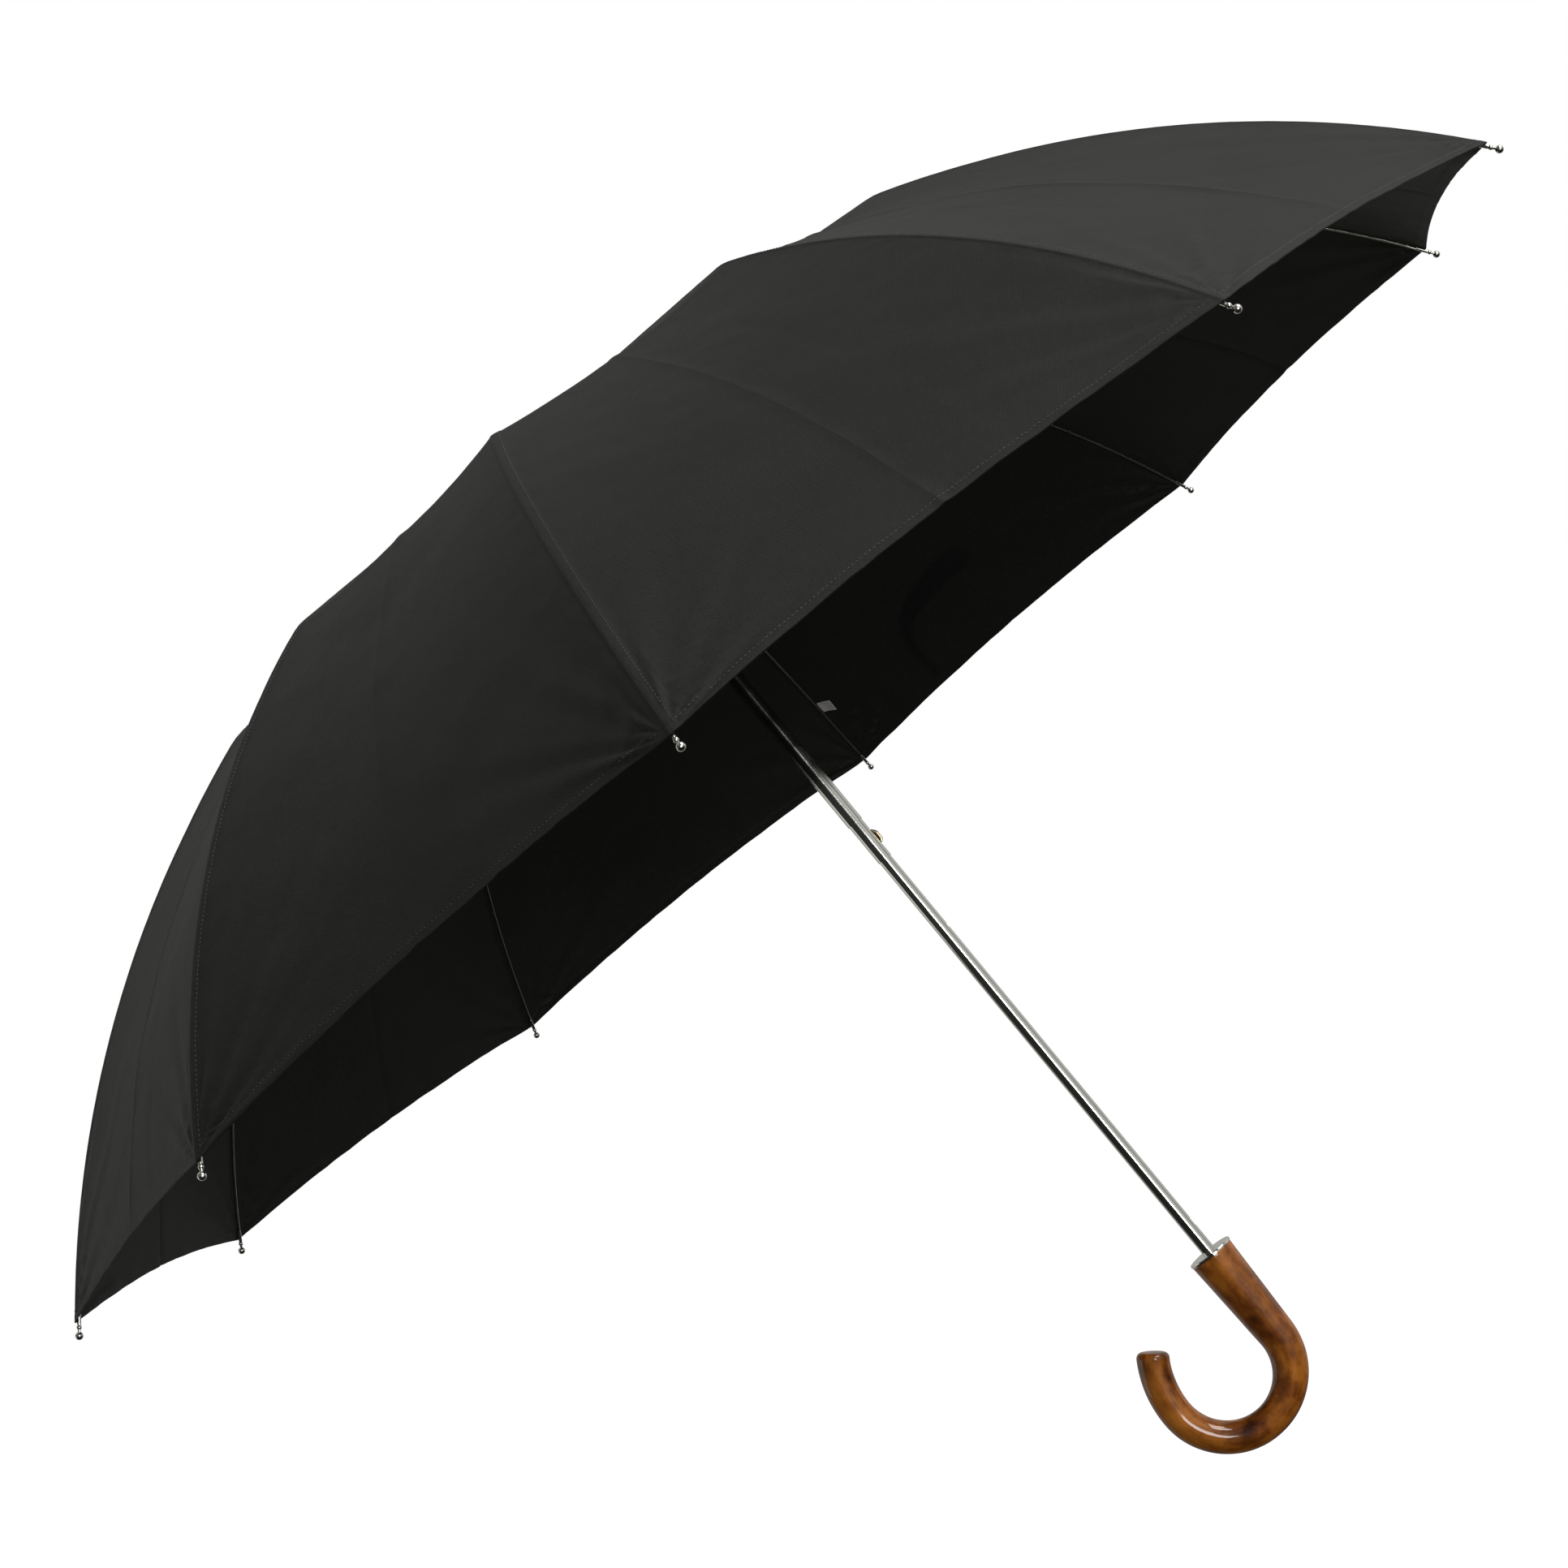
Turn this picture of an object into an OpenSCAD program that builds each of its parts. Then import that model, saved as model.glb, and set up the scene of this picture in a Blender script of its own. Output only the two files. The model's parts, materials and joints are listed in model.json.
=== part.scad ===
// Telescopic folding umbrella with a bent wooden handle, open and locked.
// +Z runs up the shaft towards the canopy. The origin is on the shaft's axis, where it leaves the handle.
// The handle's nose points to -X. Rib angles are measured about +Z from +X.

/* [Canopy] */
// Number of ribs
rib_count = 10; // [8:1:10]
// Distance of the rib tips from the shaft
canopy_r = 515; // [480:5:540]
// Height of the rib tips above the handle
rim_z = 365; // [360:1:380]
// Height of the ribs' top hinges above the tips
hinge_h = 245; // [240:1:260]
// Height of the rib elbows above the tips
elbow_h = 206.5; // [200:0.5:212]
// Distance of the rib elbows from the shaft
elbow_r = 246; // [238:0.5:250]
// How far each outer rib bends from its elbow to its tip, in degrees
rib_turn = 32.5; // [30:0.5:38]
// How much shorter the cloth is in the middle of a panel than along a rib
hem_rise = 7.5; // [5:0.5:15]
// How far the middle of a panel sags below the straight line between two ribs
panel_sag = 5.5; // [0:0.5:10]
// Thickness of the cloth's solid
cloth_t = 0.6; // [0.4:0.1:1]
// Angle of the first rib, in degrees
first_rib = -94.4; // [-108:0.1:-72]

/* [Shaft] */
// Diameter of the lower tube
lower_d = 8; // [8:0.1:8]
// Diameter of the guide tube between the lower and the upper tube
guide_d = 9; // [9:0.1:9]
// Diameter of the upper tube
upper_d = 10; // [10:0.1:10]
// Length of the lower tube that shows when the shaft is extended
lower_exposed = 290; // [285:1:295]
// Length of the guide tube that shows below the upper tube
guide_exposed = 27; // [24:1:30]
// Thickness of the lower tube's wall
tube_wall = 0.4; // [0.3:0.05:0.5]

/* [Handle] */
// Diameter of the handle at its top
grip_d = 27; // [25:0.5:28]
// Diameter of the handle at its nose
nose_d = 19; // [17:0.5:21]
// Length of the handle's straight stem
stem_h = 57; // [50:1:65]
// Radius of the bend's centreline
bend_r = 36.5; // [33:0.5:40]
// Radius of the easier curve that carries on from the bend to the nose
nose_r = 60; // [50:1:80]
// How far that curve turns, in degrees
nose_turn = 36; // [20:1:40]

/* [Mechanism] */
// Distance of the stretchers' joints from the ribs' top hinges
arm_a = 110; // [105:1:115]
// Length of a stretcher between its two joints
arm_b = 147; // [145:1:150]
// Length of the runner's sleeve below its slotted ring
sleeve_h = 36; // [30:1:36]

/* [Hidden] */
$fn = 48;
fit = 0.05;
step_angle = 360 / rib_count;

// Ribs
hinge_ring_r = 8.5;
pivot_r = 10.5;
pin_r = 0.7;
pin_hole_r = pin_r + fit;
wire_r = 0.6;
wire_hole_r = wire_r + 2 * fit;
eye_r = 1.7;
ear_r = 1.8;
channel_w = 3;
channel_h = 2.6;
channel_wall = 0.5;
gap_w = channel_w - 2 * channel_wall;
elbow_lift = 3;
tongue_w = 1.8;
rod_r = 0.8;
head_len = 5.5;
head_h = 2.4;
rod_start = 4.5;
ball_r = 2.2;
neck_r = 0.8;
bead_r = 1.4;
bead_at = 4.6;
collar_from = 6;
collar_in = 7.5;
collar_len = 7.5;
collar_play = 0.12;
collar_wall = 0.35;

hinge_z = rim_z + hinge_h;
elbow_z = rim_z + elbow_h;
hinge_to_elbow = norm([elbow_r - hinge_ring_r, hinge_h - elbow_h]);
inner_len = sqrt(pow(hinge_to_elbow, 2) - pow(elbow_lift, 2));
inner_drop = atan2(hinge_h - elbow_h, elbow_r - hinge_ring_r) + asin(elbow_lift / hinge_to_elbow);

chord_drop = atan2(elbow_h, canopy_r - elbow_r);
chord_len = norm([canopy_r - elbow_r, elbow_h]);
bow_r = chord_len / 2 / sin(rib_turn / 2);
bow_start = chord_drop - rib_turn / 2;
bow_end = chord_drop + rib_turn / 2;

// Stretchers and runner
joint_r = hinge_ring_r + arm_a * cos(inner_drop);
joint_h = hinge_h - arm_a * sin(inner_drop);
pivot_drop = sqrt(pow(arm_b, 2) - pow(joint_r - pivot_r, 2));
pivot_z = rim_z + joint_h - pivot_drop;
stretcher_drop = asin(pivot_drop / arm_b);
cheek_t = 0.55;
cheek_in = channel_w / 2 + 0.15;
stretcher_w = 2 * (cheek_in + cheek_t);
tongue_len = 14;
ring_r = 12;
ring_h = 7;
slot_w = 2.5;
hub_r = 6.5;

// Shaft
guide_z = lower_exposed;
upper_z = guide_z + guide_exposed;
lower_r = lower_d / 2;
guide_r = guide_d / 2;
upper_r = upper_d / 2;
guide_in = 33;
lower_in = 45;
lower_sunk = 40;
crown_z = hinge_z - 5;
crown_h = 6;
crown_skirt = 7;
tube_top_z = hinge_z - 2.4;
spigot_r = 3;
spigot_h = 8.4;

// Shaft lock: a thin sprung bump that stands out of the shaft
bump_w = 2.4;
bump_len = 11;
bump_out = 2.6;
bump_play = 0.4;
leaf_t = 0.5;
leaf_r = 2.2;
lock_z = rim_z - 61;
lock_leaf_len = 61;
anchor_hole_r = 1.75;
anchor_drop = 66;
low_slot_z = 19;
low_slot_h = 5;
low_slot_w = 3;

// Runner's release lever: a rocker on the +X side of the sleeve
lever_z = pivot_z - 22;
lever_w = 3.2;
lever_up = 7;
lever_down = 8;
lever_pin_r = 7.2;
tooth_h = 2;

// Handle
plate_t = 1.6;
plate_lip = 0.4;
plate_round = 0.5;
bend_len = PI * bend_r;
nose_len = PI * nose_r * nose_turn / 180;
crook_len = stem_h + bend_len + nose_len;
crook_rings = 44;
crook_sides = 36;
nose_round = 4;

// Cap on top of the cloth
cap_bore = 5.5;
cap_h = 9.5;
cap_clear = 0.3;

// Canopy
cloth_gap = 1.1;
cloth_hole_r = 4;
cloth_rows_in = 8;
cloth_rows_out = 11;
cloth_cols = 6;
tip_bare = 7;
cloth_top_h = hinge_h + 3.2;
bow_centre_r = elbow_r - bow_r * sin(bow_start);
bow_centre_h = elbow_h - bow_r * cos(bow_start);
cloth_bow_r = bow_r + rod_r + cloth_gap;
elbow_room = 1;
elbow_ease = 60;
cloth_elbow = [
    bow_centre_r + cloth_bow_r * sin(bow_start),
    bow_centre_h + cloth_bow_r * cos(bow_start) + elbow_room
];
cloth_flat = norm([cloth_elbow[0] - cloth_hole_r, cloth_top_h - cloth_elbow[1]]);
cloth_bow = cloth_bow_r * rib_turn * PI / 180 - tip_bare;
cloth_len = cloth_flat + cloth_bow;
elbow_t = cloth_flat / cloth_len;
row_t = concat(
    [for (j = [0 : cloth_rows_in - 1]) elbow_t * j / cloth_rows_in],
    [for (j = [0 : cloth_rows_out]) elbow_t + (1 - elbow_t) * j / cloth_rows_out]
);

// Closure strap and care tag
strap_panel = 5;
strap_rise = 0.5;
strap_t = 0.8;
// The strap's two edges from the hem to its free end, as [down the panel, across it] from 0 to 1
strap_near = [
    [0.985, 0.705], [0.95, 0.703], [0.92, 0.69], [0.905, 0.655], [0.897, 0.6], [0.89, 0.5], [0.885, 0.41]
];
strap_far = [
    [0.985, 0.735], [0.95, 0.737], [0.905, 0.725], [0.865, 0.69], [0.845, 0.6], [0.837, 0.5], [0.845, 0.41]
];
tag_rib = 6;
tag_w = 10;
tag_h = 11;
tag_t = 0.8;
tag_tilt = 32;
tag_along = 0.89;

RIBS = [1 : rib_count];

// A point [distance from the shaft, height above the tips] of the cloth, at s along a rib
function cloth_profile(s, up) =
    s < cloth_flat
    ? [
        cloth_hole_r + (cloth_elbow[0] - cloth_hole_r) * s / cloth_flat,
        cloth_top_h + (cloth_elbow[1] - cloth_top_h) * s / cloth_flat + up
    ]
    : let (a = bow_start + (s - cloth_flat) / cloth_bow_r * 180 / PI)
    [
        bow_centre_r + (cloth_bow_r + up) * sin(a),
        bow_centre_h + (cloth_bow_r + up) * cos(a) + elbow_room * max(0, 1 - (s - cloth_flat) / elbow_ease)
    ];

// A point of the cloth: t runs from the top to the hem, u across a panel, up is its distance outwards
function cloth_point(panel, t, u, up) =
    let (
        middle = 4 * u * (1 - u),
        p = cloth_profile(t * (cloth_len - hem_rise * middle), up),
        a = first_rib + step_angle * (panel - 1),
        left = [cos(a), sin(a)],
        right = [cos(a + step_angle), sin(a + step_angle)],
        flat = p[0] * (left * (1 - u) + right * u)
    )
    [flat[0], flat[1], rim_z + p[1] - panel_sag * middle * sin(180 * t)];

// The handle's centreline [x, z, direction it heads in] at s below its top
function crook(s) =
    s < stem_h
    ? [0, -s, -90]
    : s < stem_h + bend_len
    ? let (a = (s - stem_h) / bend_r * 180 / PI)
    [bend_r * (cos(a) - 1), -stem_h - bend_r * sin(a), -90 - a]
    : let (a = (s - stem_h - bend_len) / nose_r * 180 / PI)
    [nose_r * (1 - cos(a)) - 2 * bend_r, -stem_h + nose_r * sin(a), -270 - a];

// The handle's radius at s below its top, rounded off over the last stretch of the nose
function crook_r(s) =
    let (
        slim = min(1, s / (stem_h + bend_len / 2)),
        r = grip_d / 2 + (nose_d - grip_d) / 2 * (1 - pow(1 - slim, 1.3)),
        left = crook_len - s
    )
    left > nose_round ? r : r - nose_round + sqrt(pow(nose_round, 2) - pow(nose_round - left, 2));

module at_rib(i) {
    rotate([0, 0, first_rib + step_angle * (i - 1)]) children();
}

module across(r, w) {
    rotate([90, 0, 0]) cylinder(r = r, h = w, center = true);
}

module ring_slots(from_r, to_r, w, z0, z1) {
    for (i = RIBS) {
        at_rib(i) translate([from_r, -w / 2, z0]) cube([to_r - from_r, w, z1 - z0]);
    }
}

module tube(r, wall, z0, z1) {
    translate([0, 0, z0]) difference() {
        cylinder(r = r, h = z1 - z0);
        translate([0, 0, -1]) cylinder(r = r - wall, h = z1 - z0 + 2);
    }
}

// A slot cut through the +X side of a tube
module side_slot(z, w, h) {
    translate([0, -w / 2, z - h / 2]) cube([upper_d, w, h]);
}

// A leaf spring inside the lower tube, with a bump that stands out of its slot on the +X side
module sprung_bump() {
    r_out = guide_r + bump_out;
    translate([0, bump_w / 2, lock_z]) rotate([90, 0, 0]) linear_extrude(bump_w) polygon([
        [leaf_r, -bump_len / 2 - lock_leaf_len],
        [leaf_r + leaf_t, -bump_len / 2 - lock_leaf_len],
        [leaf_r + leaf_t, -bump_len / 2],
        [r_out - 0.6, -bump_len / 2 + 0.7],
        [r_out, -bump_len / 6],
        [r_out, bump_len / 3],
        [r_out - 0.6, bump_len / 2],
        [leaf_r, bump_len / 2]
    ]);
}

module handle() {
    rings = [for (k = [0 : crook_rings]) crook_len * k / crook_rings];
    eased = [for (k = [0 : 4]) crook_len - nose_round * (1 - sin(90 * k / 4))];
    stations = concat([for (s = rings) if (s < crook_len - nose_round) s], eased);
    last = len(stations) - 1;
    points = [
        for (s = stations)
        let (c = crook(s), r = crook_r(s))
        for (k = [0 : crook_sides - 1])
        let (a = 360 * k / crook_sides, o = r * cos(a))
        [c[0] - o * sin(c[2]), r * sin(a), c[1] + o * cos(c[2]) - plate_t]
    ];
    sides = [
        for (j = [0 : last - 1])
        for (k = [0 : crook_sides - 1])
        let (n = (k + 1) % crook_sides, p = j * crook_sides, q = p + crook_sides)
        [p + k, p + n, q + n, q + k]
    ];
    caps = [
        [for (k = [0 : crook_sides - 1]) crook_sides - 1 - k],
        [for (k = [0 : crook_sides - 1]) last * crook_sides + k]
    ];
    color("saddlebrown") difference() {
        polyhedron(points, concat(sides, caps));
        translate([0, 0, -lower_sunk - fit]) cylinder(r = lower_r + fit, h = lower_sunk + 1);
    }
}

module end_plate() {
    plate_r = grip_d / 2 + plate_lip;
    color("silver") rotate_extrude() polygon([
        [lower_r + fit, -plate_t],
        [plate_r, -plate_t],
        [plate_r, -plate_round],
        [plate_r - plate_round * 0.3, -plate_round * 0.3],
        [plate_r - plate_round, 0],
        [lower_r + fit, 0]
    ]);
}

module lower_tube() {
    color("lightgray") difference() {
        tube(lower_r, tube_wall, -lower_sunk, guide_z + lower_in);
        side_slot(lock_z, bump_w + bump_play, bump_len + 2 * bump_play);
        side_slot(low_slot_z, low_slot_w, low_slot_h);
        translate([0, 0, lock_z - anchor_drop]) rotate([0, 90, 0]) cylinder(r = anchor_hole_r, h = upper_d);
    }
}

module lock_catch() {
    color("darkgoldenrod") sprung_bump();
}

module guide_tube() {
    color("lightgray") difference() {
        tube(guide_r, guide_r - lower_r - fit, guide_z, upper_z + guide_in);
        side_slot(lock_z, bump_w + bump_play, bump_len + 2 * bump_play);
    }
}

module upper_tube() {
    color("lightgray") difference() {
        tube(upper_r, upper_r - guide_r - fit, upper_z, tube_top_z);
        side_slot(lever_z + lever_up - tooth_h / 2, lever_w + bump_play, tooth_h + bump_play);
    }
}

module crown() {
    groove_w = 1.4;
    rib_play = 0.3;
    color("dimgray") difference() {
        union() {
            translate([0, 0, crown_z - crown_skirt]) cylinder(r = hub_r, h = crown_skirt + 1);
            translate([0, 0, crown_z]) cylinder(r = ring_r, h = crown_h);
            translate([0, 0, crown_z + crown_h]) cylinder(r = spigot_r, h = spigot_h);
        }
        translate([0, 0, crown_z - crown_skirt - 1])
            cylinder(r = upper_r + fit, h = tube_top_z + fit - crown_z + crown_skirt + 1);
        ring_slots(hub_r, ring_r + 1, tongue_w + 2 * rib_play, crown_z - 1, crown_z + crown_h + 1);
        translate([0, 0, hinge_z - groove_w / 2]) rotate_extrude()
            translate([hinge_ring_r - groove_w / 2, 0]) square([groove_w, crown_h]);
    }
}

module crown_wire() {
    color("silver") translate([0, 0, hinge_z]) rotate_extrude()
        translate([hinge_ring_r, 0]) circle(r = wire_r);
}

module cap() {
    cap_z = rim_z + cloth_top_h + cloth_t + cap_clear;
    foot_r = 11;
    neck = 4.4;
    color("black") translate([0, 0, cap_z]) rotate_extrude() polygon([
        [spigot_r + fit, 0],
        [foot_r, 0],
        [foot_r, 0.8],
        [foot_r - 4, 1.8],
        [foot_r - 6, 3.2],
        [neck, 6.5],
        [neck - 0.8, cap_h - 1.3],
        [neck - 2.4, cap_h - 0.3],
        [0, cap_h],
        [0, cap_bore],
        [spigot_r + fit, cap_bore]
    ]);
}

module runner() {
    ring_z = pivot_z - ring_h / 2;
    window_w = lever_w + 0.4;
    foot_h = 3;
    foot_lip = 1.2;
    lug_h = 3.6;
    lug_wall = 1.2;
    lug_w = window_w + 2 * lug_wall;
    color("dimgray") difference() {
        union() {
            translate([0, 0, pivot_z - sleeve_h]) cylinder(r = hub_r, h = sleeve_h + ring_h);
            translate([0, 0, ring_z]) cylinder(r = ring_r, h = ring_h);
            translate([0, 0, pivot_z - sleeve_h]) cylinder(r = hub_r + foot_lip, h = foot_h);
            translate([0, -lug_w / 2, lever_z - lug_h / 2]) cube([lever_pin_r + lug_wall, lug_w, lug_h]);
        }
        translate([0, 0, pivot_z - sleeve_h - 1]) cylinder(r = upper_r + fit, h = sleeve_h + ring_h + 2);
        ring_slots(hub_r + 0.6, ring_r + 1, slot_w, ring_z - 1, ring_z + ring_h + 1);
        translate([0, -window_w / 2, lever_z - lever_down - 1])
            cube([upper_d, window_w, lever_down + lever_up + 2]);
    }
    color("silver") translate([lever_pin_r, 0, lever_z]) across(pin_r, lug_w);
}

// The lever's upper end bears on the upper tube, and its lower end is pressed inwards to free the runner
module runner_lever() {
    tooth_r = upper_r + 0.15;
    inside_r = 6.2;
    outside_r = 8.1;
    pad_r = 8.7;
    color("dimgray") translate([0, 0, lever_z]) difference() {
        translate([0, lever_w / 2, 0]) rotate([90, 0, 0]) linear_extrude(lever_w) polygon([
            [tooth_r, lever_up],
            [tooth_r, lever_up - tooth_h],
            [inside_r, lever_up - tooth_h - 0.5],
            [inside_r, -1.5],
            [inside_r + 0.7, -lever_down],
            [pad_r, -lever_down],
            [pad_r, -lever_down / 2],
            [outside_r, -1],
            [outside_r, 1.5],
            [outside_r - 0.8, lever_up]
        ]);
        translate([lever_pin_r, 0, 0]) across(pin_hole_r, lever_w + 2);
    }
}

// An inner rib: a channel open underneath, with an eye at the crown and two ears at the elbow
module inner_rib(i) {
    half_h = channel_h / 2;
    from = 6.5;
    to = inner_len + 1;
    web_end = inner_len - 3;
    color("silver") at_rib(i) translate([hinge_ring_r, 0, hinge_z]) rotate([0, inner_drop, 0]) {
        difference() {
            union() {
                across(eye_r, tongue_w);
                translate([0, -tongue_w / 2, -half_h]) cube([from + 2, tongue_w, channel_h]);
            }
            across(wire_hole_r, channel_w);
        }
        difference() {
            translate([from, -channel_w / 2, -half_h]) cube([to - from, channel_w, channel_h]);
            translate([from + 2, -gap_w / 2, -half_h - 1])
                cube([inner_len, gap_w, channel_h + 1 - channel_wall]);
            translate([web_end, -gap_w / 2, -half_h - 1]) cube([inner_len, gap_w, channel_h + 2]);
        }
        for (side = [-1, 1]) {
            translate([inner_len, side * (gap_w + channel_wall) / 2, 0]) {
                translate([0, 0, elbow_lift]) across(ear_r, channel_wall);
                translate([-ear_r, -channel_wall / 2, -half_h])
                    cube([2 * ear_r, channel_wall, elbow_lift + half_h]);
            }
        }
        translate([inner_len, 0, elbow_lift]) across(pin_r, channel_w + 0.5);
        translate([arm_a, 0, 0]) across(pin_r, stretcher_w + 0.5);
    }
}

// An outer rib: a bowed rod with a flat head at the elbow, and a ferrule with a ball at the tip
module outer_rib(i) {
    start_turn = rod_start / bow_r * 180 / PI;
    end_turn = collar_in / bow_r * 180 / PI;
    color("silver") at_rib(i) translate([elbow_r, 0, elbow_z]) {
        rotate([0, bow_start, 0]) difference() {
            union() {
                across(eye_r, tongue_w);
                translate([0, -tongue_w / 2, -head_h / 2]) cube([head_len, tongue_w, head_h]);
            }
            across(pin_hole_r, channel_w);
        }
        rotate([0, bow_start, 0]) translate([0, 0, -bow_r]) rotate([90, 0, 0])
            rotate([0, 0, 90 - rib_turn + end_turn]) rotate_extrude(angle = rib_turn - start_turn - end_turn)
            translate([bow_r, 0]) circle(r = rod_r);
    }
    color("gainsboro") at_rib(i) translate([canopy_r, 0, rim_z]) rotate([0, bow_end, 0]) {
        rotate([0, -90, 0]) difference() {
            union() {
                cylinder(r = neck_r, h = collar_from + 1);
                translate([0, 0, bead_at]) sphere(r = bead_r);
                translate([0, 0, collar_from]) cylinder(r = rod_r + collar_wall, h = collar_len);
            }
            translate([0, 0, collar_in - fit]) cylinder(r = rod_r + collar_play, h = collar_len);
        }
        sphere(r = ball_r);
    }
}

// A stretcher: a channel that straddles its rib, with a tongue that sits in the runner's slot
module stretcher(i) {
    web_t = 0.6;
    web_out = 1.7;
    web_from = 6;
    cheek_h = 2.8;
    block = arm_b - tongue_len;
    block_len = 2;
    tongue_t = 2;
    tongue_h = 2.4;
    cheek_r = 1.6;
    color("silver") at_rib(i) translate([joint_r, 0, rim_z + joint_h]) rotate([0, 180 - stretcher_drop, 0]) {
        difference() {
            union() {
                for (side = [-1, 1]) {
                    translate([0, side * (cheek_in + cheek_t / 2), 0]) {
                        across(cheek_r, cheek_t);
                        translate([0, -cheek_t / 2, -web_out]) cube([block, cheek_t, cheek_h]);
                    }
                }
                translate([web_from, -stretcher_w / 2, -web_out])
                    cube([block - web_from, stretcher_w, web_t]);
                translate([block - block_len, -stretcher_w / 2, -web_out])
                    cube([block_len, stretcher_w, cheek_h]);
                translate([block - 1, -tongue_t / 2, -tongue_h / 2])
                    cube([tongue_len + 1, tongue_t, tongue_h]);
                translate([arm_b, 0, 0]) across(tongue_h / 2, tongue_t);
            }
            across(pin_hole_r, stretcher_w + 2);
        }
    }
}

// A folding link: a thin wire that runs inside its rib's channel, between the stretcher and the elbow
module link_wire(i) {
    link_r = 0.5;
    link_low = 0.3;
    link_from = arm_a + 4;
    elbow_clear = 22;
    link_to = inner_len - elbow_clear;
    color("gray") at_rib(i) translate([hinge_ring_r, 0, hinge_z]) rotate([0, inner_drop, 0])
        translate([link_from, 0, -link_low]) rotate([0, 90, 0]) cylinder(r = link_r, h = link_to - link_from);
}

// A closed sheet between two grids of points of the same size. A ring joins its last column to its first.
module sheet(outer, inner, ring) {
    rows = len(outer);
    cols = len(outer[0]);
    spans = ring ? cols : cols - 1;
    n = rows * cols;
    points = concat([for (r = outer) for (p = r) p], [for (r = inner) for (p = r) p]);
    top = [
        for (j = [0 : rows - 2])
        for (k = [0 : spans - 1])
        let (a = j * cols + k, b = j * cols + (k + 1) % cols)
        each [[a, a + cols, b], [b, a + cols, b + cols]]
    ];
    bottom = [for (f = top) [f[2] + n, f[1] + n, f[0] + n]];
    ends = [
        for (k = [0 : spans - 1])
        let (a = k, b = (k + 1) % cols, c = a + (rows - 1) * cols, d = b + (rows - 1) * cols)
        each [[a, b, b + n], [a, b + n, a + n], [d, c, c + n], [d, c + n, d + n]]
    ];
    sides = ring ? [] : [
        for (j = [0 : rows - 2])
        let (a = j * cols, b = a + cols, c = a + cols - 1, d = c + cols)
        each [[b, a, a + n], [b, a + n, b + n], [c, d, d + n], [c, d + n, c + n]]
    ];
    polyhedron(points, concat(top, bottom, ends, sides));
}

module canopy() {
    grid = function (up) [
        for (t = row_t)
        [for (i = RIBS) for (k = [0 : cloth_cols - 1]) cloth_point(i, t, k / cloth_cols, up)]
    ];
    color("black") sheet(grid(cloth_t), grid(0), true);
}

// The closure strap, sewn to the hem of one panel and lying on the outside of it
module strap() {
    grid = function (up) [
        for (j = [0 : len(strap_near) - 1])
        [
            for (k = [0, 0.5, 1])
            let (e = strap_near[j] * (1 - k) + strap_far[j] * k)
            cloth_point(strap_panel, e[0], e[1], up)
        ]
    ];
    color("black") sheet(grid(cloth_t + strap_rise + strap_t), grid(cloth_t + strap_rise), false);
}

// The folded care tag, sewn into a seam and lying beside its rib on the inside of the cloth
module care_tag() {
    s = tag_along * cloth_len;
    p = cloth_profile(s, 0);
    beside = rod_r + 0.9;
    below = 2;
    slope = bow_start + (s - cloth_flat) / cloth_bow_r * 180 / PI;
    color("white") at_rib(tag_rib) translate([p[0], 0, rim_z + p[1]]) rotate([0, slope, 0])
        translate([0, -beside, -below]) rotate([tag_tilt, 0, 0])
        translate([-tag_w / 2, -tag_h, -tag_t]) cube([tag_w, tag_h, tag_t]);
}

handle();
end_plate();
lower_tube();
lock_catch();
guide_tube();
upper_tube();
crown();
crown_wire();
cap();
runner();
runner_lever();
canopy();
strap();
care_tag();
for (i = RIBS) {
    inner_rib(i);
    outer_rib(i);
    stretcher(i);
    link_wire(i);
}
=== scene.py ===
import json
import math

import bpy
import numpy as np
from mathutils import Matrix, Vector


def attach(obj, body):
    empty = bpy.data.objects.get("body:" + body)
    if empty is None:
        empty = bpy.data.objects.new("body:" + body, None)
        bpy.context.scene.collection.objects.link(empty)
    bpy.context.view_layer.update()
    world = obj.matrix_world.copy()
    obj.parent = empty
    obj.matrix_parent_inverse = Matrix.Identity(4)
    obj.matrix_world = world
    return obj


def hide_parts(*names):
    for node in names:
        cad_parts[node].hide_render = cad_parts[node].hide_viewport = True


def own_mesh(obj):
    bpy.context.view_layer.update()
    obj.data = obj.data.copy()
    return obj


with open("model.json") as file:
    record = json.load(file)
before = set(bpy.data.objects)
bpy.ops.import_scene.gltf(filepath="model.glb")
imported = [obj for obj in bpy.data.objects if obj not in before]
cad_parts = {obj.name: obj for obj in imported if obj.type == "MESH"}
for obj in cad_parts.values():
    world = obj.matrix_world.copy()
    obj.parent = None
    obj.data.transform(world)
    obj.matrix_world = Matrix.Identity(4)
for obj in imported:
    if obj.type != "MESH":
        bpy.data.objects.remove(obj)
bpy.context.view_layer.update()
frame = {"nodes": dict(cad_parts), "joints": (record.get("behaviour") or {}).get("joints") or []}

JOINTS = {j["name"]: j for j in frame["joints"]}
NODES = frame["nodes"]
MM = 0.001

# ---------------------------------------------------------------- the part's own measures, in mm
# Heights of the ribs and the cloth are above the plane of the tips, as in the part.
RIM_Z = 365.0
TIP_R = 515.0
ELBOW_R, ELBOW_H = 246.0, 206.5
RIB_TURN = math.radians(32.5)
ROD_R = 0.8
CLOTH_GAP = 0.8
CLOTH_TOP_H = 248.2
CLOTH_HOLE_R = 4.0
TIP_BARE = 7.0
HEM_RISE = 7.5
PANEL_SAG = 5.5
CLOTH_T = 0.6
ELBOW_ROOM, ELBOW_EASE = 1, 60
ELBOW_ROUND, ELBOW_TURN = 6, 0.19
RIBS = range(1, 11)
STEP = math.radians(36)
ANGLE = {}
for rib in RIBS:
    at = JOINTS["crown_hinge_%d" % rib]["pos_m"]
    ANGLE[rib] = math.atan2(at[1], at[0])
FIRST = ANGLE[1]

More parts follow.
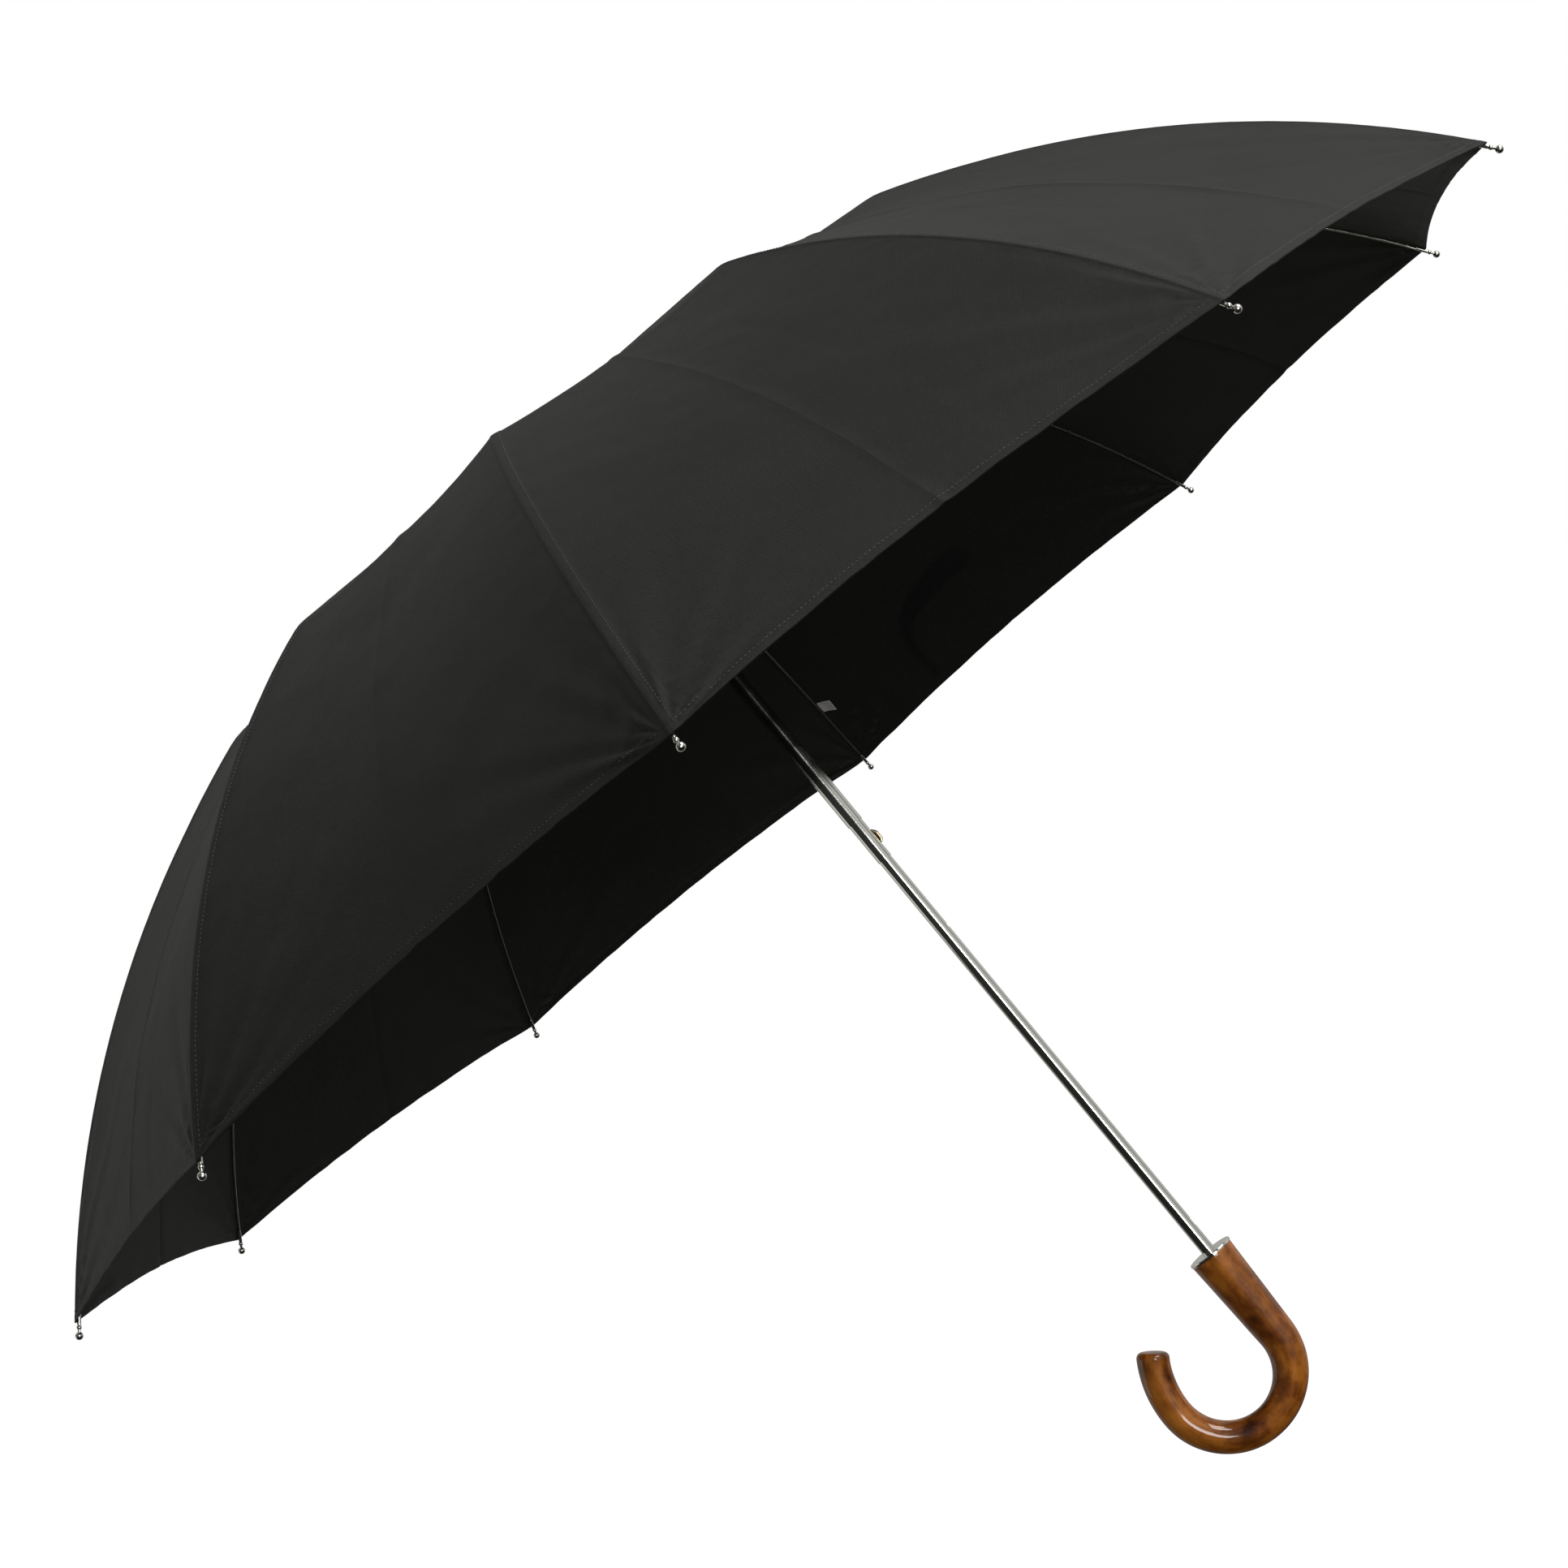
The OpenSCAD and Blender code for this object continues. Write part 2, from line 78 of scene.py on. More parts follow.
CHORD = math.hypot(TIP_R - ELBOW_R, ELBOW_H)
CHORD_DROP = math.atan2(ELBOW_H, TIP_R - ELBOW_R)
BOW_R = CHORD / 2 / math.sin(RIB_TURN / 2)
BOW_START = CHORD_DROP - RIB_TURN / 2
BOW_CENTRE = (ELBOW_R - BOW_R * math.sin(BOW_START), ELBOW_H - BOW_R * math.cos(BOW_START))
CLOTH_BOW_R = BOW_R + ROD_R + CLOTH_GAP
CLOTH_ELBOW = (
    BOW_CENTRE[0] + CLOTH_BOW_R * math.sin(BOW_START),
    BOW_CENTRE[1] + CLOTH_BOW_R * math.cos(BOW_START) + ELBOW_ROOM,
)
FLAT = math.hypot(CLOTH_ELBOW[0] - CLOTH_HOLE_R, CLOTH_TOP_H - CLOTH_ELBOW[1])
CLOTH_LEN = FLAT + CLOTH_BOW_R * RIB_TURN - TIP_BARE
TOP_EDGE = 9.0
PLY = 0.2           # half the thickness of the cloth as it is shown
HEM_STITCH = 5.2    # from the hem to its stitches
SEAM_STITCH = 3.9   # from a rib's middle to the second row of its seam's stitches


# ---------------------------------------------------------------- small maths
def sstep(lo, hi, x):
    """0 below lo, 1 above hi and smooth between them; lo may be the greater."""
    t = np.clip((x - lo) / (hi - lo), 0, 1)
    return t * t * (3 - 2 * t)


def noise2(x, y, seed):
    """Smooth noise from -1 to 1, the same each run."""
    table = np.random.RandomState(seed).uniform(-1, 1, (64, 64))
    x, y = np.broadcast_arrays(np.asarray(x, float), np.asarray(y, float))
    xi, yi = np.floor(x).astype(int), np.floor(y).astype(int)
    fx, fy = x - xi, y - yi
    fx, fy = fx * fx * (3 - 2 * fx), fy * fy * (3 - 2 * fy)
    a, b = table[xi % 64, yi % 64], table[(xi + 1) % 64, yi % 64]
    c, d = table[xi % 64, (yi + 1) % 64], table[(xi + 1) % 64, (yi + 1) % 64]
    return (a * (1 - fx) + b * fx) * (1 - fy) + (c * (1 - fx) + d * fx) * fy


def unit(v):
    return v / np.linalg.norm(v, axis=-1, keepdims=True)


# ---------------------------------------------------------------- the cloth's surface
def profile(s):
    """Distance from the shaft and height above the tips, at s mm from the top along a rib."""
    straight_r = CLOTH_HOLE_R + (CLOTH_ELBOW[0] - CLOTH_HOLE_R) * s / FLAT
    straight_h = CLOTH_TOP_H + (CLOTH_ELBOW[1] - CLOTH_TOP_H) * s / FLAT
    a = BOW_START + (s - FLAT) / CLOTH_BOW_R
    bow_r = BOW_CENTRE[0] + CLOTH_BOW_R * np.sin(a)
    room = np.maximum(0, ELBOW_ROOM - (s - FLAT) / ELBOW_EASE)
    bow_h = BOW_CENTRE[1] + CLOTH_BOW_R * np.cos(a) + room
    soft = np.clip(ELBOW_ROUND - np.abs(s - FLAT), 0, None) ** 2 / (4 * ELBOW_ROUND) * ELBOW_TURN
    inner = s < FLAT
    return np.where(inner, straight_r, bow_r), np.where(inner, straight_h, bow_h) - soft


def hem_len(u):
    """From the top to the hem, which rises between the ribs."""
    return CLOTH_LEN - HEM_RISE * 4 * u * (1 - u)


def half_width(s):
    """Half the width of a panel at s from the top."""
    return profile(s)[0] * math.sin(STEP / 2)


def base(panel, s, u):
    """Points of the plain cloth in mm in the row frame: panel from 1 to 10, u from 0 to 1 across it."""
    middle = 4 * u * (1 - u)
    t = s / hem_len(u)
    r, h = profile(s)
    a = FIRST + STEP * (panel - 1)
    x = r * (np.cos(a) * (1 - u) + np.cos(a + STEP) * u)
    y = r * (np.sin(a) * (1 - u) + np.sin(a + STEP) * u)
    z = RIM_Z + h - PANEL_SAG * middle * np.sin(np.pi * np.clip(t, 0, 1))
    return np.stack([x, y, z], -1)


def relief(panel, s, u):
    """How far the sewn, creased and stretched cloth stands out of the plain one, in mm."""
    wide = 2 * half_width(s)
    left, right = u * wide, (1 - u) * wide
    nearest = np.minimum(left, right)
    centre = (u - 0.5) * wide
    below = hem_len(u) - s
    grown = sstep(10, 60, s)
    out = np.zeros(np.broadcast(s, u).shape)
    # flat-felled seams along the ribs, with their stitches pulled in
    for rib, off in ((panel, left), ((panel % 10) + 1, -right)):
        near = np.abs(off)
        lap = 0.30 * (sstep(-1.6, -0.7, off) - sstep(4.4, 5.3, off))
        stitched = 0.14 * np.exp(-((off - 0.2) / 0.45) ** 2)
        stitched = stitched + 0.12 * np.exp(-((off - SEAM_STITCH) / 0.45) ** 2)
        pull = noise2(s / 4.5 + 7 * rib, off / 9, 11 + rib) * np.exp(-near / 8) * sstep(0.5, 3, near)
        slack = noise2(s / 11.0 + 3 * rib, off / 22, 41 + rib) * np.exp(-near / 20) * sstep(1, 8, near)
        out = out + (lap - stitched) * sstep(14, 40, s) + (0.22 * pull + 0.34 * slack) * grown
    # the press fold down the middle of the panel, from the folded umbrella
    fold = np.clip(1 - np.abs(centre) / 8.0, 0, 1) ** 2
    strength = 0.75 + 0.35 * noise2(s / 55.0, panel * 3.1, 5)
    out = out + 0.85 * fold * strength * sstep(30, 90, s)
    # a second, fainter fold beside it
    beside = np.clip(1 - np.abs(centre - wide * (0.17 if panel % 2 else -0.2)) / 6.0, 0, 1) ** 2
    shown = sstep(0.15, 0.6, noise2(s / 90.0, panel * 1.7, 6) + 0.45)
    out = out - 0.30 * beside * shown * sstep(200, 300, s)
    # the cloth was folded across at the elbows
    out = out + 0.35 * np.clip(1 - np.abs(s - FLAT - 3) / 7.0, 0, 1) ** 2 * sstep(4, 24, nearest)
    # folds that fan out from the tips, where the cloth is pulled to the ribs
    for rib, across in ((panel, left), ((panel % 10) + 1, right)):
        reach = np.hypot(across, below)
        turn = np.arctan2(across, np.maximum(below, 0) + 1e-3)
        seed = rib * 2 + (0 if rib == panel else 1)
        wobble = 1.1 * noise2(reach / 45.0, seed * 1.3, 21)
        rays = np.sin(turn * (11.5 + seed % 4) + wobble + seed * 2.4)
        rays = rays + 0.55 * np.sin(turn * (23.0 + seed % 3) + 2 * wobble + seed)
        much = sstep(3, 22, reach) * np.exp(-reach / 62.0)
        out = out + 1.05 * rays * much * sstep(1, 9, across) * sstep(0, 6, below + 3)
    # puckers along the hem and its stitch line
    gather = noise2(centre / 7.5, panel * 5.7, 31) + 0.6 * noise2(centre / 3.8, panel * 2.9, 32)
    out = out + 0.34 * gather * np.exp(-below / 8.0) * sstep(3, 16, nearest)
    out = out - 0.16 * np.exp(-((below - HEM_STITCH) / 0.55) ** 2)
    out = out + 0.12 * sstep(7.2, 6.2, below)
    # slack and pull of the panel as a whole
    easy = sstep(0, 55, nearest) * grown
    out = out + 1.5 * easy * noise2(s / 120.0 + panel * 1.9, u * 2.2 + panel * 3.3, 51)
    drawn = noise2((s + 0.55 * np.abs(centre)) / 30.0 + panel * 4.1, centre / 85.0 + panel, 52)
    out = out + 0.34 * easy * drawn
    out = out + 0.15 * easy * noise2(s / 13.0 + panel, centre / 9.0, 53)
    out = out + 0.05 * grown * noise2(s / 4.0 + panel, centre / 4.0, 54)
    return out


def cloth(panel, s, u, up=0.0):
    """Points of the finished cloth in metres, up mm outwards of its middle."""
    s, u = np.broadcast_arrays(np.asarray(s, float), np.asarray(u, float))
    p = base(panel, s, u)
    ds = base(panel, s + 0.5, u) - base(panel, s - 0.5, u)
    du = base(panel, s, u + 0.004) - base(panel, s, u - 0.004)
    n = np.cross(ds, du)
    n = n / np.maximum(np.linalg.norm(n, axis=-1, keepdims=True), 1e-9)
    # over a rib both panels share the normal in the rib's own plane
    wide = 2 * half_width(s)
    for edge, a in ((u * wide, FIRST + STEP * (panel - 1)), ((1 - u) * wide, FIRST + STEP * panel)):
        share = np.clip(1 - edge / 5.0, 0, 1)[..., None]
        tangent = np.array([-math.sin(a), math.cos(a), 0.0])
        flat_n = n - (n @ tangent)[..., None] * tangent
        n = n * (1 - share) + flat_n * share
    middle = CLOTH_T / 2 + relief(panel, s, u)
    return (p + unit(n) * (middle + up)[..., None]) * MM


def on_cloth(panel, s, u, out=PLY):
    """Points out mm from the middle of the finished cloth, in metres, and the way outwards there."""
    p = cloth(panel, s, u, out)
    return p, unit(cloth(panel, s, u, out + 1.0) - p)


# ---------------------------------------------------------------- meshes
def new_mesh(name, verts, faces, mat):
    me = bpy.data.meshes.new(name)
    me.from_pydata([tuple(v) for v in verts], [], [tuple(f) for f in faces])
    me.materials.append(mat)
    me.polygons.foreach_set("use_smooth", [True] * len(me.polygons))
    me.update()
    ob = bpy.data.objects.new(name, me)
    bpy.context.scene.collection.objects.link(ob)
    return ob


def grid_quads(rows, cols, wrap=False):
    """The faces of a grid of vertices; wrap joins its last column to its first."""
    j, i = np.meshgrid(np.arange(rows - 1), np.arange(cols if wrap else cols - 1), indexing="ij")
    a = j * cols + i
    b = j * cols + (i + 1) % cols
    return np.stack([a, a + cols, b + cols, b], -1).reshape(-1, 4)


def grid_normals(g):
    """Normals of a grid of points, pointing the way that its rows crossed with its columns do."""
    dr, dc = np.gradient(g, axis=0), np.gradient(g, axis=1)
    n = np.cross(dr, dc)
    return n / np.maximum(np.linalg.norm(n, axis=-1, keepdims=True), 1e-12)


def outward(o, i, uv):
    """The two grids of a thin sheet and its uv, turned so that the normals of o point away from i."""
    if float((grid_normals(o) * (o - i)).sum()) > 0:
        return o, i, uv
    return o[:, ::-1], i[:, ::-1], uv[:, ::-1]


def ring_faces(rings, sides):
    """Faces of a tube made of rings of vertices, closed at both ends."""
    last = (rings - 1) * sides
    faces = [tuple(int(v) for v in f[::-1]) for f in grid_quads(rings, sides, True)]
    faces.append(tuple(range(sides))[::-1])
    faces.append(tuple(range(last, last + sides)))
    return faces


def closed_sheet(name, outer, inner, uv, mat, n_out=None, n_in=None):
    """A thin closed sheet between two grids, shaded by the normals given, or by the grids' own."""
    n_out = grid_normals(outer) if n_out is None else n_out
    n_in = grid_normals(inner) if n_in is None else n_in
    rows, cols = outer.shape[:2]
    size = rows * cols
    verts = np.concatenate([outer.reshape(-1, 3), inner.reshape(-1, 3)])
    top = grid_quads(rows, cols)
    bottom = top[:, ::-1] + size
    k = np.arange(cols - 1)
    first = np.stack([k, k + 1, k + 1 + size, k + size], -1)
    base_row = (rows - 1) * cols
    last = np.stack([base_row + k + 1, base_row + k, base_row + k + size, base_row + k + 1 + size], -1)
    j = np.arange(rows - 1)
    side_a = np.stack([(j + 1) * cols, j * cols, j * cols + size, (j + 1) * cols + size], -1)
    end = j * cols + cols - 1
    side_b = np.stack([end, end + cols, end + cols + size, end + size], -1)
    walls = np.concatenate([first, last, side_a, side_b])
    faces = np.concatenate([top, bottom, walls])
    ob = new_mesh(name, verts, faces, mat)
    me = ob.data
    smooth = np.ones(len(faces), bool)
    smooth[len(top) * 2:] = False
    me.polygons.foreach_set("use_smooth", smooth)
    normals = np.concatenate([n_out.reshape(-1, 3), -n_in.reshape(-1, 3)])
    loops = normals[faces.reshape(-1)]
    loops[len(top) * 2 * 4:] = 0
    me.normals_split_custom_set([tuple(v) for v in loops])
    layer = me.uv_layers.new(name="cloth")
    flat = np.concatenate([uv.reshape(-1, 2), uv.reshape(-1, 2)])[faces.reshape(-1)]
    layer.data.foreach_set("uv", flat.reshape(-1).astype(np.float32))
    return ob


def tube_mesh(name, path, r, sides, mat):
    """A tube of radius r swept through the points of path, in metres."""
    heading = unit(np.gradient(path, axis=0))
    side = unit(np.cross(heading[0], [0.31, 0.77, 0.55]))
    verts = []
    for p, d in zip(path, heading):
        side = unit(side - (side @ d) * d)
        other = np.cross(d, side)
        for k in range(sides):
            a = 2 * math.pi * k / sides
            verts.append(p + r * (math.cos(a) * side + math.sin(a) * other))
    return new_mesh(name, verts, ring_faces(len(path), sides), mat)


# a stitch: how far along it each of its rings is, the ring's width and how far it stands up
THREAD_RINGS = ((0.0, 0.25, -0.9), (0.16, 0.9, 0.1), (0.5, 1.0, 0.45), (0.84, 0.9, 0.1), (1.0, 0.25, -0.9))
THREAD_SIDES = 5


def stitches(name, rows, width=0.00042, share=0.68):
    """Rows of stitches, each row being its points and the ways up there.

    A thread goes from each point to share of the way to the next, thick in the middle and sunk at both ends.
    """
    verts, faces = [], []
    starts = np.concatenate([p[:-1] for p, _ in rows])
    ends = np.concatenate([p[:-1] + (p[1:] - p[:-1]) * share for p, _ in rows])
    ups = np.concatenate([up[:-1] for _, up in rows])
    for a, b, up in zip(starts, ends, ups):
        side = unit(np.cross(unit(b - a), up))
        first = len(verts)
        for t, r, rise in THREAD_RINGS:
            c = a + (b - a) * t + up * rise * width * 0.5
            for k in range(THREAD_SIDES):
                w = 2 * math.pi * k / THREAD_SIDES
                verts.append(c + r * width / 2 * (math.cos(w) * side + math.sin(w) * up))
        for f in ring_faces(len(THREAD_RINGS), THREAD_SIDES):
            faces.append([first + v for v in f[::-1]])
    return new_mesh(name, verts, faces, THREAD)


# ---------------------------------------------------------------- materials
def material(name):
    m = bpy.data.materials.new(name)
    m.use_nodes = True
    nt = m.node_tree
    bsdf = nt.nodes["Principled BSDF"]
    return m, nt, bsdf


def noise_node(nt, vector, scale, detail=3.0, rough=0.5):
    n = nt.nodes.new("ShaderNodeTexNoise")
    n.inputs["Scale"].default_value = scale
    n.inputs["Detail"].default_value = detail
    n.inputs["Roughness"].default_value = rough
    nt.links.new(vector, n.inputs["Vector"])
    return n.outputs["Fac"]


def ramp(nt, fac, stops):
    n = nt.nodes.new("ShaderNodeValToRGB")
    e = n.color_ramp.elements
    while len(e) < len(stops):
        e.new(0.5)
    for slot, (pos, col) in zip(e, stops):
        slot.position = pos
        slot.color = (*col, 1) if len(col) == 3 else col
    nt.links.new(fac, n.inputs["Fac"])
    return n.outputs["Color"]


def remap(nt, fac, lo, hi, to_lo, to_hi):
    n = nt.nodes.new("ShaderNodeMapRange")
    for key, v in (("From Min", lo), ("From Max", hi), ("To Min", to_lo), ("To Max", to_hi)):
        n.inputs[key].default_value = v
    nt.links.new(fac, n.inputs["Value"])
    return n.outputs["Result"]


def maths(nt, op, a, b):
    n = nt.nodes.new("ShaderNodeMath")
    n.operation = op
    for slot, v in ((0, a), (1, b)):
        if isinstance(v, (int, float)):
            n.inputs[slot].default_value = v
        else:
            nt.links.new(v, n.inputs[slot])
    return n.outputs[0]


def bump(nt, height, distance, bsdf, strength, after=None):
    n = nt.nodes.new("ShaderNodeBump")
    n.inputs["Strength"].default_value = strength
    n.inputs["Distance"].default_value = distance
    nt.links.new(height, n.inputs["Height"])
    if after is not None:
        nt.links.new(after, n.inputs["Normal"])
    if bsdf is not None:
        nt.links.new(n.outputs["Normal"], bsdf.inputs["Normal"])
    return n.outputs["Normal"]


def stretched(nt, vector, scale, offset=(0, 0, 0)):
    n = nt.nodes.new("ShaderNodeMapping")
    n.inputs["Scale"].default_value = scale
    n.inputs["Location"].default_value = offset
    nt.links.new(vector, n.inputs["Vector"])
    return n.outputs["Vector"]


def in_object(nt):
    return nt.nodes.new("ShaderNodeTexCoord").outputs["Object"]


def on_sheet(nt):
    """Where a point is on its flat cloth, in metres."""
    n = nt.nodes.new("ShaderNodeUVMap")
    n.uv_map = "cloth"
    return n.outputs[0]


def weighted(nt, *parts):
    """The sum of some values, each times its weight."""
    total = None
    for value, weight in parts:
        part = maths(nt, "MULTIPLY", value, weight)
        total = part if total is None else maths(nt, "ADD", total, part)
    return total


def weave_height(nt, vector, pitch):
    """A plain weave: warp and weft bands that pass over and under each other."""
    sep = nt.nodes.new("ShaderNodeSeparateXYZ")
    nt.links.new(vector, sep.inputs[0])
    k = math.pi / pitch
    sx = maths(nt, "SINE", maths(nt, "MULTIPLY", sep.outputs[0], k), 0.0)
    sy = maths(nt, "SINE", maths(nt, "MULTIPLY", sep.outputs[1], k), 0.0)
    return maths(nt, "MULTIPLY", sx, sy)


def cloth_material():
    """Thin black polyester that lets a little light through."""
    m, nt, b = material("canopy_cloth")
    v = on_sheet(nt)
    weave = weave_height(nt, v, 0.00042)
    warp = noise_node(nt, stretched(nt, v, (900, 160, 1)), 1.0, 2.0, 0.6)
    weft = noise_node(nt, stretched(nt, v, (170, 850, 1)), 1.0, 2.0, 0.6)
    grain = maths(nt, "ADD", warp, weft)
    broad = noise_node(nt, v, 9.0, 3.0, 0.6)
    colour = ramp(nt, weighted(nt, (grain, 0.5), (broad, 0.30), (weave, 0.05)), [
        (0.42, (0.0070, 0.0071, 0.0073)),
        (0.65, (0.0125, 0.0127, 0.0128)),
        (0.88, (0.0200, 0.0200, 0.0198)),
    ])
    nt.links.new(colour, b.inputs["Base Color"])
    rough = remap(nt, grain, 0.6, 1.4, 0.52, 0.68)
    nt.links.new(rough, b.inputs["Roughness"])
    b.inputs["Specular IOR Level"].default_value = 0.22
    b.inputs["Sheen Weight"].default_value = 0.02
    b.inputs["Sheen Roughness"].default_value = 0.45
    b.inputs["Sheen Tint"].default_value = (0.75, 0.78, 0.85, 1)
    first = bump(nt, grain, 0.00022, None, 0.5)
    bump(nt, weave, 0.00010, b, 0.6, after=first)
    through = nt.nodes.new("ShaderNodeBsdfTranslucent")
    through.inputs["Color"].default_value = (0.34, 0.345, 0.28, 1)
    mix = nt.nodes.new("ShaderNodeMixShader")
    mix.inputs[0].default_value = 0.13
    nt.links.new(b.outputs[0], mix.inputs[1])
    nt.links.new(through.outputs[0], mix.inputs[2])
    nt.links.new(mix.outputs[0], nt.nodes["Material Output"].inputs["Surface"])
    return m


def thread_material():
    m, nt, b = material("black_thread")
    n = noise_node(nt, in_object(nt), 1500.0, 3.0, 0.6)
    colour = ramp(nt, n, [(0.3, (0.012, 0.012, 0.013)), (0.7, (0.040, 0.040, 0.042))])
    nt.links.new(colour, b.inputs["Base Color"])
    nt.links.new(remap(nt, n, 0.2, 0.8, 0.45, 0.7), b.inputs["Roughness"])
    b.inputs["Sheen Weight"].default_value = 0.2
    bump(nt, n, 0.0001, b, 0.6)
    return m


def strap_material():
    m, nt, b = material("strap_cloth")
    v = on_sheet(nt)
    weave = weave_height(nt, v, 0.0006)
    n = noise_node(nt, v, 700.0, 3.0, 0.6)
    tone = maths(nt, "ADD", n, maths(nt, "MULTIPLY", weave, 0.12))
    colour = ramp(nt, tone, [(0.25, (0.018, 0.018, 0.019)), (0.8, (0.042, 0.042, 0.043))])
    nt.links.new(colour, b.inputs["Base Color"])
    nt.links.new(remap(nt, n, 0.2, 0.8, 0.6, 0.8), b.inputs["Roughness"])
    bump(nt, weave, 0.0002, b, 0.8)
    return m


def metal(name, colour, low, high, streak):
    """Polished metal of roughness low to high, with drawing marks as fine as streak, and faint smears."""
    m, nt, b = material(name)
    v = in_object(nt)
    lines = noise_node(nt, stretched(nt, v, streak), 1.0, 3.0, 0.65)
    smear = noise_node(nt, v, 65.0, 4.0, 0.6)
    dark = tuple(c * 0.86 for c in colour)
    shade = ramp(nt, weighted(nt, (lines, 0.5), (smear, 0.5)), [(0.30, dark), (0.62, colour)])
    nt.links.new(shade, b.inputs["Base Color"])
    b.inputs["Metallic"].default_value = 1.0
    rough = weighted(nt, (lines, 0.35), (smear, 0.65))
    nt.links.new(remap(nt, rough, 0.3, 0.7, low, high), b.inputs["Roughness"])
    bump(nt, lines, 0.00002, b, 0.25)
    return m


def plastic(name, colour, low, high):
    """Moulded plastic of roughness low to high, with a fine grain."""
    m, nt, b = material(name)
    v = in_object(nt)
    n = noise_node(nt, v, 420.0, 4.0, 0.6)
    wide = noise_node(nt, v, 60.0, 2.0, 0.5)
    shade = ramp(nt, wide, [(0.3, tuple(c * 0.8 for c in colour)), (0.7, tuple(c * 1.25 for c in colour))])
    nt.links.new(shade, b.inputs["Base Color"])
    both = maths(nt, "MULTIPLY", maths(nt, "ADD", n, wide), 0.5)
    nt.links.new(remap(nt, both, 0.3, 0.7, low, high), b.inputs["Roughness"])
    bump(nt, n, 0.00008, b, 0.3)
    return m


def wood_material():
    """Bent, stained and varnished wood: dark figure drawn out along the stick, under a clear coat."""
    m, nt, b = material("wood")
    stick = nt.nodes.new("ShaderNodeAttribute")
    stick.attribute_name = "stick"
    solid = in_object(nt)

    def drawn_out(across, along, detail, off):
        """Noise drawn out along the bent stick, off from where the others are."""
        v = stretched(nt, stick.outputs["Vector"], (across, across, along), (off, off * 0.7, off * 0.3))
        return noise_node(nt, v, 1.0, detail, 0.6)

    figure = drawn_out(70, 17, 4.0, 3.1)
    flame = drawn_out(150, 30, 3.0, 9.0)
    pores = drawn_out(2600, 190, 2.0, 1.0)
    mottle = noise_node(nt, solid, 85.0, 4.0, 0.62)
    cloudy = noise_node(nt, solid, 26.0, 3.0, 0.6)
    colour = ramp(nt, weighted(nt, (figure, 0.34), (mottle, 0.24), (cloudy, 0.30), (flame, 0.12)), [
        (0.38, (0.040, 0.010, 0.002)),
        (0.46, (0.190, 0.052, 0.006)),
        (0.53, (0.400, 0.130, 0.015)),
        (0.61, (0.560, 0.200, 0.026)),
    ])
    fleck = ramp(nt, pores, [(0.33, (0.45, 0.36, 0.30)), (0.42, (1, 1, 1))])
    mul = nt.nodes.new("ShaderNodeMix")
    mul.data_type = "RGBA"
    mul.blend_type = "MULTIPLY"
    mul.inputs["Factor"].default_value = 0.55
    nt.links.new(colour, mul.inputs["A"])
    nt.links.new(fleck, mul.inputs["B"])
    nt.links.new(mul.outputs["Result"], b.inputs["Base Color"])
    nt.links.new(remap(nt, mottle, 0.3, 0.7, 0.42, 0.58), b.inputs["Roughness"])
    b.inputs["Specular IOR Level"].default_value = 0.1
    b.inputs["Coat Weight"].default_value = 0.8
    b.inputs["Coat Roughness"].default_value = 0.07
    b.inputs["Coat IOR"].default_value = 1.52
    ripple = noise_node(nt, solid, 150.0, 2.0, 0.5)
    bump(nt, ripple, 0.00010, b, 0.35, after=bump(nt, pores, 0.00003, None, 0.3))
    nt.links.new(bump(nt, ripple, 0.00010, None, 0.25), b.inputs["Coat Normal"])
    return m


def tag_material():
    """White satin tape."""
    m, nt, b = material("tag_cloth")
    v = on_sheet(nt)
    weave = weave_height(nt, v, 0.00025)
    n = noise_node(nt, v, 900.0, 3.0, 0.6)
    tone = maths(nt, "ADD", n, maths(nt, "MULTIPLY", weave, 0.1))
    colour = ramp(nt, tone, [(0.2, (0.62, 0.61, 0.57)), (0.75, (0.80, 0.79, 0.75))])
    nt.links.new(colour, b.inputs["Base Color"])
    nt.links.new(remap(nt, n, 0.2, 0.8, 0.4, 0.55), b.inputs["Roughness"])
    b.inputs["Sheen Weight"].default_value = 0.3
    bump(nt, weave, 0.00006, b, 0.6)
    return m


CLOTH = cloth_material()
THREAD = thread_material()
STRAP = strap_material()
WOOD = wood_material()
TAG = tag_material()
STEEL = metal("steel", (0.70, 0.70, 0.67), 0.05, 0.16, (900, 900, 12))
RIB = metal("rib_steel", (0.74, 0.73, 0.68), 0.16, 0.30, (350, 350, 350))
NICKEL = metal("nickel", (0.76, 0.74, 0.69), 0.04, 0.13, (300, 300, 300))
BRASS = metal("brass", (0.70, 0.58, 0.36), 0.12, 0.26, (500, 500, 90))
PLASTIC = plastic("black_plastic", (0.018, 0.018, 0.019), 0.28, 0.42)

LOOKS = {
    "end_plate": NICKEL, "lower_tube": STEEL, "guide_tube": STEEL, "upper_tube": STEEL, "lock_catch": BRASS,
    "crown": PLASTIC, "crown_wire": RIB, "cap": PLASTIC, "runner": PLASTIC, "runner_lever": PLASTIC,
    "canopy": CLOTH, "strap": STRAP, "care_tag": TAG, "handle": WOOD,
}
for name, ob in NODES.items():
    ob.data.materials.clear()
    ob.data.materials.append(LOOKS.get(name, RIB))


